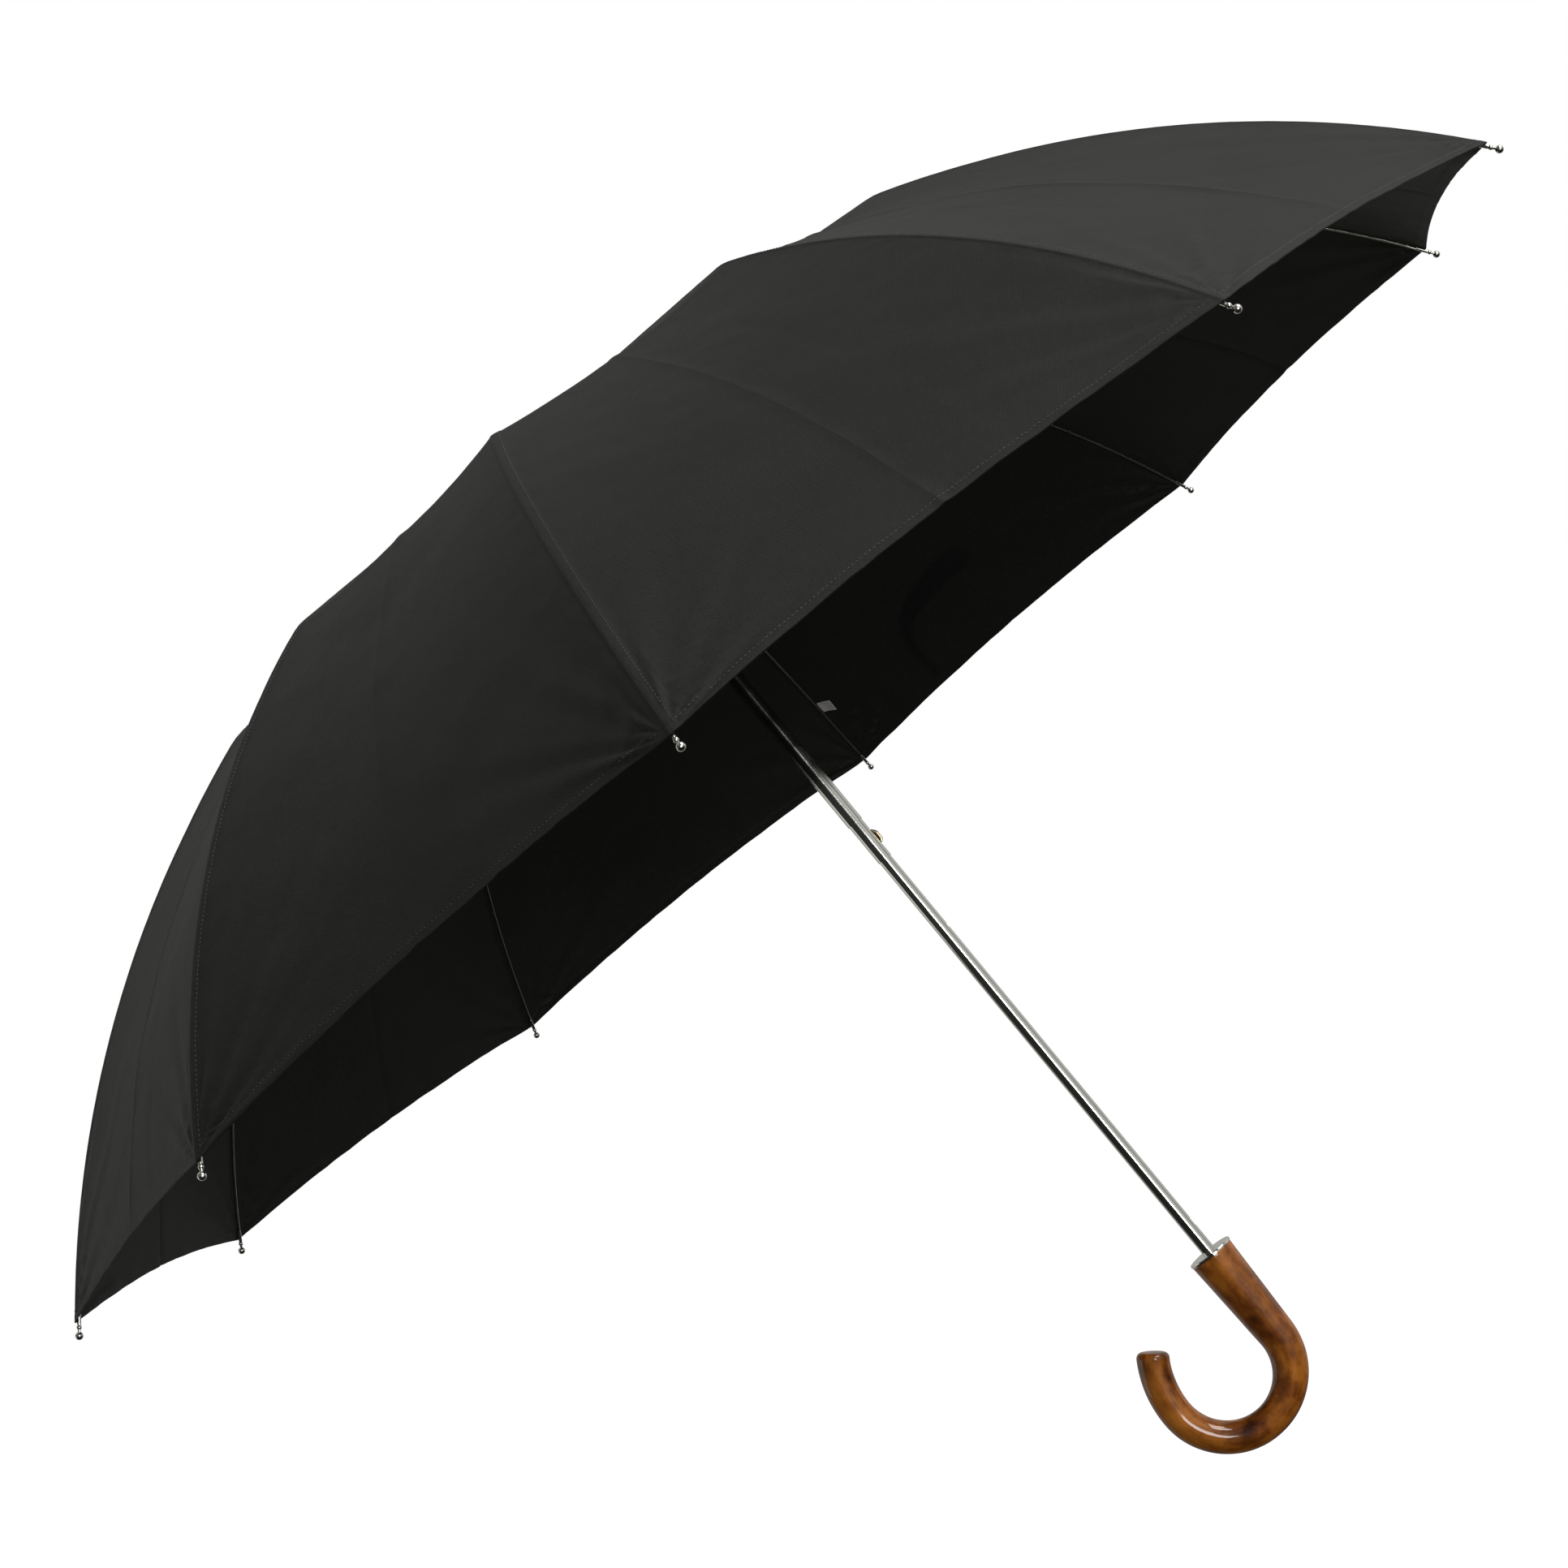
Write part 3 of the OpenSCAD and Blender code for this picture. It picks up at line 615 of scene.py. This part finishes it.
# ---------------------------------------------------------------- camera
def camera():
    """At the photograph's viewing angle: nearly level with the tips, and rolled about its own axis."""
    elev, roll, swing = -0.06863, -0.69002, -0.00194
    right, down, away = 0.02085 * TIP_R * MM, -0.02756 * TIP_R * MM, 3.53272 * TIP_R * MM
    swap = Matrix(((1, 0, 0), (0, 0, -1), (0, 1, 0)))
    tilt = Matrix(((1, 0, 0), (0, math.cos(elev), -math.sin(elev)), (0, math.sin(elev), math.cos(elev))))
    spin = Matrix(((math.cos(roll), -math.sin(roll), 0), (math.sin(roll), math.cos(roll), 0), (0, 0, 1)))
    turn = spin @ tilt @ swap @ Matrix.Rotation(swing, 3, "Z")
    back = turn.transposed()
    place = back @ Vector((-right, -down, -away)) + Vector((0, 0, RIM_Z * MM))
    axes = back @ Matrix(((1, 0, 0), (0, -1, 0), (0, 0, -1)))
    data = bpy.data.cameras.new("camera")
    data.sensor_width = 36
    data.lens = 72.22
    data.clip_start = 0.01
    data.clip_end = 60
    cam = bpy.data.objects.new("camera", data)
    cam.matrix_world = Matrix.Translation(place) @ axes.to_4x4()
    bpy.context.scene.collection.objects.link(cam)
    bpy.context.scene.camera = cam


camera()


# ---------------------------------------------------------------- the canopy
# Rows of the cloth's grid: evenly spaced out to the elbow, and on to the hem, then close together there.
INNER_ROWS, OUTER_ROWS = 50, 64
HEM_ROWS = np.array([17, 13, 10.2, 8.3, 7.2, 6.6, 6.0, 5.4, 4.9, 4.0, 2.8, 1.6, 0.7, 0.0])
ROWS = INNER_ROWS + OUTER_ROWS + len(HEM_ROWS)
# Columns of half a panel, in mm: close together by the seam and by the fold in the middle.
NEAR = np.array([0, 0.4, 0.9, 1.6, 2.6, 3.6, 4.3, 5.0, 6.2, 8.0, 10.5])
FAR = np.array([7.0, 5.0, 3.2, 1.8, 0.8, 0.0])
SPREAD = np.linspace(0, 1, 19)[1:-1]
COLS = len(NEAR) + len(SPREAD) + len(FAR)
STITCH = 2.6        # from one stitch of a seam to the next
HEM_STITCHES = 62   # along each half of a gore's hem


def row_stations(u):
    """Distances from the top for the rows of one column or more: the elbow's row is the same on all."""
    end = hem_len(np.asarray(u, float))[..., None]
    inner = np.broadcast_to(np.linspace(TOP_EDGE, FLAT, INNER_ROWS), (*end.shape[:-1], INNER_ROWS))
    outer = FLAT + (end - HEM_ROWS[0] - FLAT) * np.linspace(0, 1, OUTER_ROWS + 2)[1:-1]
    return np.concatenate([inner, outer, end - HEM_ROWS], -1)


def columns(s):
    """Distances from the seam, in mm, of the columns of half a panel, at s from the top."""
    half = half_width(s)
    f = np.minimum(1, half / 40)[..., None]
    near, far = NEAR * f, half[..., None] - FAR * f
    between = near[..., -1:] + (far[..., :1] - near[..., -1:]) * SPREAD
    return np.concatenate([near, between, far], -1)


def half_gore(from_left):
    """s, u and mm across for the grid of the half of a panel that belongs to its left or its right rib."""
    u = np.full((ROWS, COLS), 0.25)
    # the rows depend on the columns and the columns on the rows, and four rounds settle both
    for _ in range(4):
        s = np.stack([row_stations(np.array(u[-1, i])) for i in range(COLS)], 1)
        x = np.stack([columns(s[:, i])[:, i] for i in range(COLS)], 1)
        u = x / (2 * half_width(s))
    u[:, -1] = 0.5
    u[:, 0] = 0.0
    across = u * 2 * half_width(s)
    return (s, u, across) if from_left else (s, 1 - u, -across)


def panel_before(rib):
    return (rib - 2) % 10 + 1


def gore(rib):
    """Grids of the cloth that one rib carries, from the middle of one panel to the middle of the next."""
    sides = []
    for panel, from_left in ((panel_before(rib), False), (rib, True)):
        s, u, across = half_gore(from_left)
        hem = sstep(7.4, 6.4, hem_len(u) - s)
        outer = cloth(panel, s, u, PLY + 0.03 * hem)
        inner = cloth(panel, s, u, -PLY - 0.35 * hem)
        sides.append((outer, inner, np.stack([across, s], -1) * MM))
    return [np.concatenate([left[:, ::-1][:, :-1], right], 1) for left, right in zip(*sides)]


def soft_with_rib(ob, body):
    """A piece of cloth goes with its rib, with a mesh of its own."""
    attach(ob, body)
    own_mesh(ob)


def build_gore(rib):
    """The cloth that one rib carries: a narrow piece on its inner rib and a broad one on its outer rib."""
    outer, inner, uv = gore(rib)
    n_out, n_in = grid_normals(outer), grid_normals(inner)
    elbow = INNER_ROWS - 1
    hem_fold = -len(HEM_ROWS)
    # each piece's rows, its widest row and the share that it fills of the flat rectangle around it
    for part, lo, hi, widest, filled in (
        ("inner", 0, elbow + 1, -1, 0.53),
        ("outer", elbow, ROWS, hem_fold, 0.78),
    ):
        o, i = outer[lo:hi], inner[lo:hi]
        ob = closed_sheet("gore_%s_%d" % (part, rib), o, i, uv[lo:hi], CLOTH, n_out[lo:hi], n_in[lo:hi])
        soft_with_rib(ob, "%s_rib_%d" % (part, rib))
        if rib == 1:
            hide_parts("canopy")


def build_seam_stitches(rib):
    """The row of stitches that shows along a rib's seam. It doesn't cross the elbow."""
    for part, lo, hi in (("inner", 16.0, FLAT - 1), ("outer", FLAT + 1, CLOTH_LEN - 3)):
        s = np.arange(lo, hi, STITCH)
        row = on_cloth(rib, s, SEAM_STITCH / (2 * half_width(s)))
        ob = stitches("seam_stitches_%s_%d" % (part, rib), [row])
        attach(ob, "%s_rib_%d" % (part, rib))


def build_hem_stitches(rib):
    rows = []
    for panel, lo, hi in ((panel_before(rib), 0.5, 0.985), (rib, 0.015, 0.5)):
        u = np.linspace(lo, hi, HEM_STITCHES)
        rows.append(on_cloth(panel, hem_len(u) - HEM_STITCH, u))
    ob = stitches("hem_stitches_%d" % rib, rows)
    soft_with_rib(ob, "outer_rib_%d" % rib)


def build_canopy_top():
    """The small round of cloth under the cap, which stays with the crown."""
    s, u = np.meshgrid(np.linspace(0, TOP_EDGE, 8), np.linspace(0, 1, 9)[:-1], indexing="ij")
    plies = []
    for up in (PLY, -PLY):
        panels = [cloth(panel, s, u, up) for panel in RIBS]
        plies.append(np.concatenate(panels + [panels[0][:, :1]], 1))
    o, i = plies
    ob = closed_sheet("canopy_top", o, i, o[..., :2], CLOTH)
    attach(ob, "upper_shaft")


for rib in RIBS:
    build_gore(rib)
    build_seam_stitches(rib)
    build_hem_stitches(rib)
build_canopy_top()


# ---------------------------------------------------------------- the handle
PLATE_T = 1.6
STEM_H, BEND_R, NOSE_R = 57.0, 36.5, 60.0
BEND_LEN = math.pi * BEND_R
CROOK_LEN = STEM_H + BEND_LEN + NOSE_R * math.radians(36)
GRIP_R, NOSE_END_R = 13.5, 9.5
NOSE_ROUND = 3.4
TOP_RING_R = 4.2    # a ring on its flat top, under the end plate
TOP_ROUND = ((0.0, -0.45), (0.12, -0.2), (0.32, -0.06))


def crook(s):
    """The handle's centreline [x, z] and the angle it heads in, at s mm below its top."""
    if s < STEM_H:
        return 0.0, -s, -math.pi / 2
    if s < STEM_H + BEND_LEN:
        a = (s - STEM_H) / BEND_R
        return BEND_R * (math.cos(a) - 1), -STEM_H - BEND_R * math.sin(a), -math.pi / 2 - a
    a = (s - STEM_H - BEND_LEN) / NOSE_R
    return NOSE_R * (1 - math.cos(a)) - 2 * BEND_R, -STEM_H + NOSE_R * math.sin(a), -1.5 * math.pi - a


def crook_radius(s):
    """The stick slims down from its grip, and keeps one thickness from the middle of the bend."""
    slim = min(1.0, s / (STEM_H + BEND_LEN / 2))
    return GRIP_R + (NOSE_END_R - GRIP_R) * (1 - (1 - slim) ** 1.3)


def build_handle():
    """The bent stick, with rounded ends. "stick" is each point's place in it before it was bent."""
    sides = 96
    around = np.arange(sides) * 2 * math.pi / sides
    rings, stick = [], []

    def ring(s, r):
        x, z, heading = crook(s)
        # the stick was scraped and sanded by hand
        rough = 0.05 * noise2(s / 16.0 + 3, np.cos(around) * 1.4 + 2, 61)
        rough = rough + 0.04 * noise2(s / 9.0, np.sin(around) * 1.9 + 5, 62)
        rr = r + rough * min(1.0, r / 6.0)
        out, side = rr * np.cos(around), rr * np.sin(around)
        rings.append(np.stack([x - out * math.sin(heading), side, z + out * math.cos(heading) - PLATE_T], -1))
        stick.append(np.stack([out, side, np.full(sides, s)], -1))

    ring(0.0, TOP_RING_R)
    for s, inset in TOP_ROUND:
        ring(s, crook_radius(s) + inset)
    for s in np.linspace(0.55, CROOK_LEN - NOSE_ROUND, 230):
        ring(s, crook_radius(s))
    for k in range(1, 13):
        a = math.radians(90) * k / 12
        ring(CROOK_LEN - NOSE_ROUND * (1 - math.sin(a)), NOSE_END_R - NOSE_ROUND * (1 - math.cos(a)))
    for share in (0.8, 0.55, 0.3, 0.1):
        ring(CROOK_LEN + 0.22 * (1 - share * share), (NOSE_END_R - NOSE_ROUND) * share)
    faces = [f[::-1] for f in ring_faces(len(rings), sides)]
    ob = new_mesh("crook_handle", np.concatenate(rings) * MM, faces, WOOD)
    field = ob.data.attributes.new("stick", "FLOAT_VECTOR", "POINT")
    field.data.foreach_set("vector", (np.concatenate(stick) * MM).reshape(-1).astype(np.float32))
    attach(ob, "handle")
    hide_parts("handle")


build_handle()


# ---------------------------------------------------------------- the lock's button
LOCK_Z = 304.0
BUTTON_LEN, BUTTON_HALF_W = 11.0, 1.2
LEAF_IN, LEAF_OUT, BUTTON_OUT = 2.2, 2.7, 7.1   # from the shaft's middle
LEAF_END = -66.5                                # from the button's middle


def build_button():
    """A pressed brass button, rounded off at both ends, on its thin leaf spring."""
    half_w = BUTTON_HALF_W
    stations = [(z, LEAF_OUT) for z in (LEAF_END, LEAF_END + 0.3, -20.0, -BUTTON_LEN / 2 - 0.2)]
    for t in np.linspace(0, 1, 22):
        rise = math.sin(math.pi * min(1.0, t ** 0.85) ** 0.92) if 0 < t < 1 else 0.0
        top = LEAF_OUT + (BUTTON_OUT - LEAF_OUT) * min(1.0, 1.12 * rise ** 0.55)
        stations.append((BUTTON_LEN * t - BUTTON_LEN / 2, top))
    rings = []
    for z, top in stations:
        corner = min(0.85, (top - LEAF_IN) * 0.42)
        turns = [math.radians(90) * k / 7 for k in range(8)]
        edge = [(top - corner * (1 - math.sin(a)), half_w - corner * (1 - math.cos(a))) for a in turns]
        ring = [(LEAF_IN, -half_w), (LEAF_IN, half_w)] + edge + [(x, -y) for x, y in edge[::-1]]
        rings.append([(x * MM, y * MM, (LOCK_Z + z) * MM) for x, y in ring])
    faces = ring_faces(len(rings), len(rings[0]))
    ob = new_mesh("lock_button", [p for r in rings for p in r], faces, BRASS)
    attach(ob, "lock_catch")
    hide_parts("lock_catch")
    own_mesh(ob)


build_button()


# ---------------------------------------------------------------- the closure strap
STRAP_PANEL = 5
STRAP_T = 0.75      # two layers of tape
# its way from the hem: share of the way down the panel, share of the way across it, half width in mm
STRAP_LINE = (
    (0.985, 0.718, 2.6), (0.950, 0.718, 2.8), (0.912, 0.704, 3.4), (0.885, 0.668, 5.0),
    (0.871, 0.600, 8.5), (0.864, 0.500, 11.5), (0.865, 0.420, 11.5),
)


def strap_way(rows):
    """The strap's line smoothed out: mm down and across its panel, and its half width."""
    line = np.array(STRAP_LINE)
    knots, fine = np.linspace(0, 1, len(line)), np.linspace(0, 1, rows)
    smooth = []
    for column in line.T:
        v = np.interp(fine, knots, column)
        for _ in range(14):
            v[1:-1] = v[1:-1] * 0.5 + 0.25 * (v[2:] + v[:-2])
        smooth.append(v)
    t, u, half = smooth
    down = t * hem_len(u)
    return down, u * 2 * half_width(down), half


def build_strap():
    """A doubled, stitched band sewn to the hem, lying over the outside of one panel."""
    rows, cols = 72, 13
    down, across, half = strap_way(rows)
    head = unit(np.stack([np.gradient(down), np.gradient(across)], -1))
    run = np.linspace(0, np.sum(np.hypot(np.diff(down), np.diff(across))), rows)
    left = run[-1] - run
    # the free end is rounded off, and the sewn end is square
    half = half * np.sqrt(np.clip(1 - np.clip(1 - left / 5.0, 0, 1) ** 2, 0.04, 1))
    w = np.linspace(-1, 1, cols)
    offs = half[:, None] * w
    s = down[:, None] - head[:, 1:2] * offs
    u = (across[:, None] + head[:, 0:1] * offs) / (2 * half_width(s))
    # it lies loosely, and its free end curls up
    curl = 1.6 * sstep(22, 0, left)[:, None] * (0.6 + 0.4 * w)
    lift = 0.35 + 0.9 * noise2(run[:, None] / 34.0, w * 0.8 + 3, 71) ** 2 + curl
    edge = 0.10 * np.cos(np.pi * np.clip((1 - np.abs(w)) * 4, 0, 1)) * -1
    o = cloth(STRAP_PANEL, s, u, PLY + lift + STRAP_T + edge)
    i = cloth(STRAP_PANEL, s, u, PLY + lift)
    uv = np.stack(np.broadcast_arrays(offs, run[:, None]), -1) * MM
    o, i, uv = outward(o, i, uv)
    ob = closed_sheet("closure_strap", o, i, uv, STRAP)
    soft_with_rib(ob, "outer_rib_6")
    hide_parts("strap")
    # a row of stitches 1.2 mm inside each of its long edges, up to where its free end is rounded
    threads = []
    last = run[rows - 5]
    at = np.linspace(run[1], last, int(last / 2.4))
    for side in (-1, 1):
        off = side * np.maximum(half - 1.2, 0.3)
        s = np.interp(at, run, down - head[:, 1] * off)
        u = np.interp(at, run, across + head[:, 0] * off) / (2 * half_width(s))
        raised = np.interp(at, run, lift[:, cols // 2 + side * (cols // 2 - 2)])
        p, up = on_cloth(STRAP_PANEL, s, u, 0.0)
        threads.append((p + up * (raised[:, None] + PLY + STRAP_T - 0.03) * MM, up))
    sewn = stitches("strap_stitches", threads, 0.00040, 0.7)
    soft_with_rib(sewn, "outer_rib_6")


build_strap()


# ---------------------------------------------------------------- the care tag and the thread ties
def rib_frame(rib, s):
    """The point of the cloth over a rib at s, in mm, and the ways along the rib, across it and outwards."""
    a = ANGLE[rib]
    r, h = profile(np.array(float(s)))
    slope = BOW_START + (s - FLAT) / CLOTH_BOW_R
    out = np.array([math.cos(a), math.sin(a), 0.0])
    side = np.array([-math.sin(a), math.cos(a), 0.0])
    up = np.array([0.0, 0.0, 1.0])
    at = out * float(r) + up * (RIM_Z + float(h))
    along = out * math.cos(slope) - up * math.sin(slope)
    normal = out * math.sin(slope) + up * math.cos(slope)
    return at, along, side, normal


TAG_AT, TAG_REACH, TAG_W, TAG_TILT = 0.89, 10.7, 10.0, math.radians(32)


def build_tag():
    """Blank satin tape folded double and caught in the seam by both its ends."""
    at, along, side, normal = rib_frame(6, TAG_AT * CLOTH_LEN)
    away = -side * math.cos(TAG_TILT) - normal * math.sin(TAG_TILT)
    face = normal * math.cos(TAG_TILT) - side * math.sin(TAG_TILT)
    root = at - side * 1.7 - normal * 2.0 - face * 0.4
    # out along the tape's upper half, round the fold and back along its lower half: [reach, height]
    reach = TAG_REACH - 0.4
    fold = [math.pi * k / 8 for k in range(1, 8)]
    line = [(0.1 + reach * k / 17, 0.20 - 0.004 * k) for k in range(18)]
    line += [(TAG_REACH - 0.3 + 0.13 * math.sin(a), 0.13 * math.cos(a)) for a in fold]
    line += [(0.1 + reach * (1 - k / 17), -0.13 - 0.008 * k) for k in range(18)]
    line = np.array(line)
    w = np.linspace(-TAG_W / 2, TAG_W / 2, 17)
    tangent = unit(np.gradient(line, axis=0))
    across = np.stack([-tangent[:, 1], tangent[:, 0]], -1)
    out = line[:, 0:1]
    # the tape springs up a little at one corner
    curl = 1.1 * sstep(3, 11, out) * (0.25 + 0.75 * (w / TAG_W + 0.5) ** 2)
    curl = curl - 0.25 * np.sin(out / 2.7) * np.cos(w / 3.4)
    grids = []
    for ply in (0.10, -0.10):
        x = line[:, 0:1] + across[:, 0:1] * ply
        lift = line[:, 1:2] + across[:, 1:2] * ply - curl
        skew = w[None, :] + 0.06 * out
        grids.append((root + skew[..., None] * along + x[..., None] * away + lift[..., None] * face) * MM)
    run = np.concatenate([[0], np.cumsum(np.linalg.norm(np.diff(line, axis=0), axis=1))])
    uv = np.stack(np.broadcast_arrays(w[None, :], run[:, None]), -1) * MM
    o, i, uv = outward(*grids, uv)
    ob = closed_sheet("folded_tag", o, i, uv, TAG)
    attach(ob, "outer_rib_6")
    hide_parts("care_tag")


TIE_AT = 235.0      # from the elbow, along the rod
TIE_TURNS, TIE_PITCH, TIE_THREAD_R = 4, 0.42, 0.19


def build_ties():
    """A few turns of thread that hold each outer rib to its seam."""
    per_turn, r = 14, ROD_R + 0.2
    for rib in RIBS:
        at, along, side, normal = rib_frame(rib, FLAT + TIE_AT * CLOTH_BOW_R / BOW_R)
        centre = at - normal * (ROD_R + CLOTH_GAP)
        path = []
        for k in range(TIE_TURNS * per_turn + 1):
            a = 2 * math.pi * k / per_turn + rib
            x = (k / per_turn - TIE_TURNS / 2) * TIE_PITCH
            lift = 0.35 * max(0.0, math.cos(a)) ** 3
            path.append(centre + along * x + side * r * math.sin(a) + normal * (r * math.cos(a) + lift))
        ob = tube_mesh("rib_tie_%d" % rib, np.array(path) * MM, TIE_THREAD_R * MM, 6, THREAD)
        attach(ob, "outer_rib_%d" % rib)


build_tag()
build_ties()


# ---------------------------------------------------------------- floor, light and finish
def area_light(name, place, aim, size, watts, colour):
    data = bpy.data.lights.new(name, "AREA")
    data.shape = "SQUARE"
    data.size = size
    data.energy = watts
    data.color = colour
    ob = bpy.data.objects.new(name, data)
    ob.location = place
    ob.rotation_mode = "QUATERNION"
    ob.rotation_quaternion = (Vector(aim) - Vector(place)).to_track_quat("-Z", "Y")
    bpy.context.scene.collection.objects.link(ob)


def studio_walls():
    """Light from all round, which the metal and the varnish mirror. The camera alone sees plain white."""
    world = bpy.data.worlds.new("studio")
    bpy.context.scene.world = world
    world.use_nodes = True
    nt = world.node_tree
    lit = nt.nodes["Background"]
    sep = nt.nodes.new("ShaderNodeSeparateXYZ")
    nt.links.new(nt.nodes.new("ShaderNodeTexCoord").outputs["Generated"], sep.inputs[0])
    x, y, z = sep.outputs

    def toward(dx, dy, lo, hi, much):
        """Light from the side that dx, dy points to, fading out from hi to lo."""
        return remap(nt, weighted(nt, (x, dx), (y, dy)), lo, hi, 0.0, much)

    # a broad white panel ahead to the right, black cloth ahead to the left, and a white room behind
    low_enough = remap(nt, maths(nt, "ABSOLUTE", z, 0.0), 0.30, 0.55, 1.0, 0.0)
    panel = maths(nt, "MULTIPLY", toward(0.62, -0.785, 0.80, 0.93, 0.55), low_enough)
    room = toward(0.15, 0.99, -0.05, 0.45, 0.38)
    right = toward(1.0, 0.1, 0.60, 0.95, 0.25)
    above = remap(nt, z, -0.1, 0.9, 0.02, 0.15)
    sides = maths(nt, "ADD", maths(nt, "ADD", room, right), above)
    level = remap(nt, z, -0.8, -0.15, 0.15, 1.0)
    glow = maths(nt, "ADD", panel, maths(nt, "MULTIPLY", sides, level))
    tint = nt.nodes.new("ShaderNodeCombineColor")
    nt.links.new(glow, tint.inputs[0])
    nt.links.new(maths(nt, "MULTIPLY", glow, 0.995), tint.inputs[1])
    nt.links.new(maths(nt, "MULTIPLY", glow, 0.96), tint.inputs[2])
    nt.links.new(tint.outputs[0], lit.inputs["Color"])
    lit.inputs["Strength"].default_value = 1.0
    seen = nt.nodes.new("ShaderNodeBackground")
    seen.inputs["Color"].default_value = (1, 1, 1, 1)
    seen.inputs["Strength"].default_value = 1.0
    mix = nt.nodes.new("ShaderNodeMixShader")
    nt.links.new(nt.nodes.new("ShaderNodeLightPath").outputs["Is Camera Ray"], mix.inputs[0])
    nt.links.new(lit.outputs[0], mix.inputs[1])
    nt.links.new(seen.outputs[0], mix.inputs[2])
    nt.links.new(mix.outputs[0], nt.nodes["World Output"].inputs["Surface"])


def floor():
    """A plain white floor well below the handle, which glows a little."""
    bpy.ops.mesh.primitive_plane_add(size=1)
    ob = bpy.context.object
    ob.name = "floor"
    ob.scale = (60, 60, 1)
    ob.location = (0, 0, -0.75)
    bpy.ops.object.transform_apply(location=True, scale=True)
    m, nt, b = material("floor_white")
    n = noise_node(nt, in_object(nt), 3.0, 2.0, 0.5)
    colour = ramp(nt, n, [(0.3, (0.93, 0.93, 0.93)), (0.7, (0.95, 0.95, 0.95))])
    nt.links.new(colour, b.inputs["Base Color"])
    b.inputs["Roughness"].default_value = 0.9
    b.inputs["Emission Color"].default_value = (1, 1, 1, 1)
    b.inputs["Emission Strength"].default_value = 0.75
    ob.data.materials.append(m)
    ob.visible_diffuse = False
    ob.visible_glossy = False


def studio():
    studio_walls()
    middle = (0, 0, 0.40)
    area_light("key", (2.3, -1.1, 1.75), middle, 1.5, 66, (1.0, 0.995, 0.97))
    area_light("left", (-2.6, 0.5, 0.9), middle, 1.4, 4, (1.0, 0.98, 0.92))
    area_light("front", (0.75, -2.7, -0.05), (0, 0, 0.35), 0.8, 24, (1.0, 0.99, 0.99))
    floor()
    view = bpy.context.scene.view_settings
    view.view_transform = "Standard"
    view.look = "None"
    view.exposure = 0
    view.gamma = 1


studio()

bpy.context.view_layer.update()
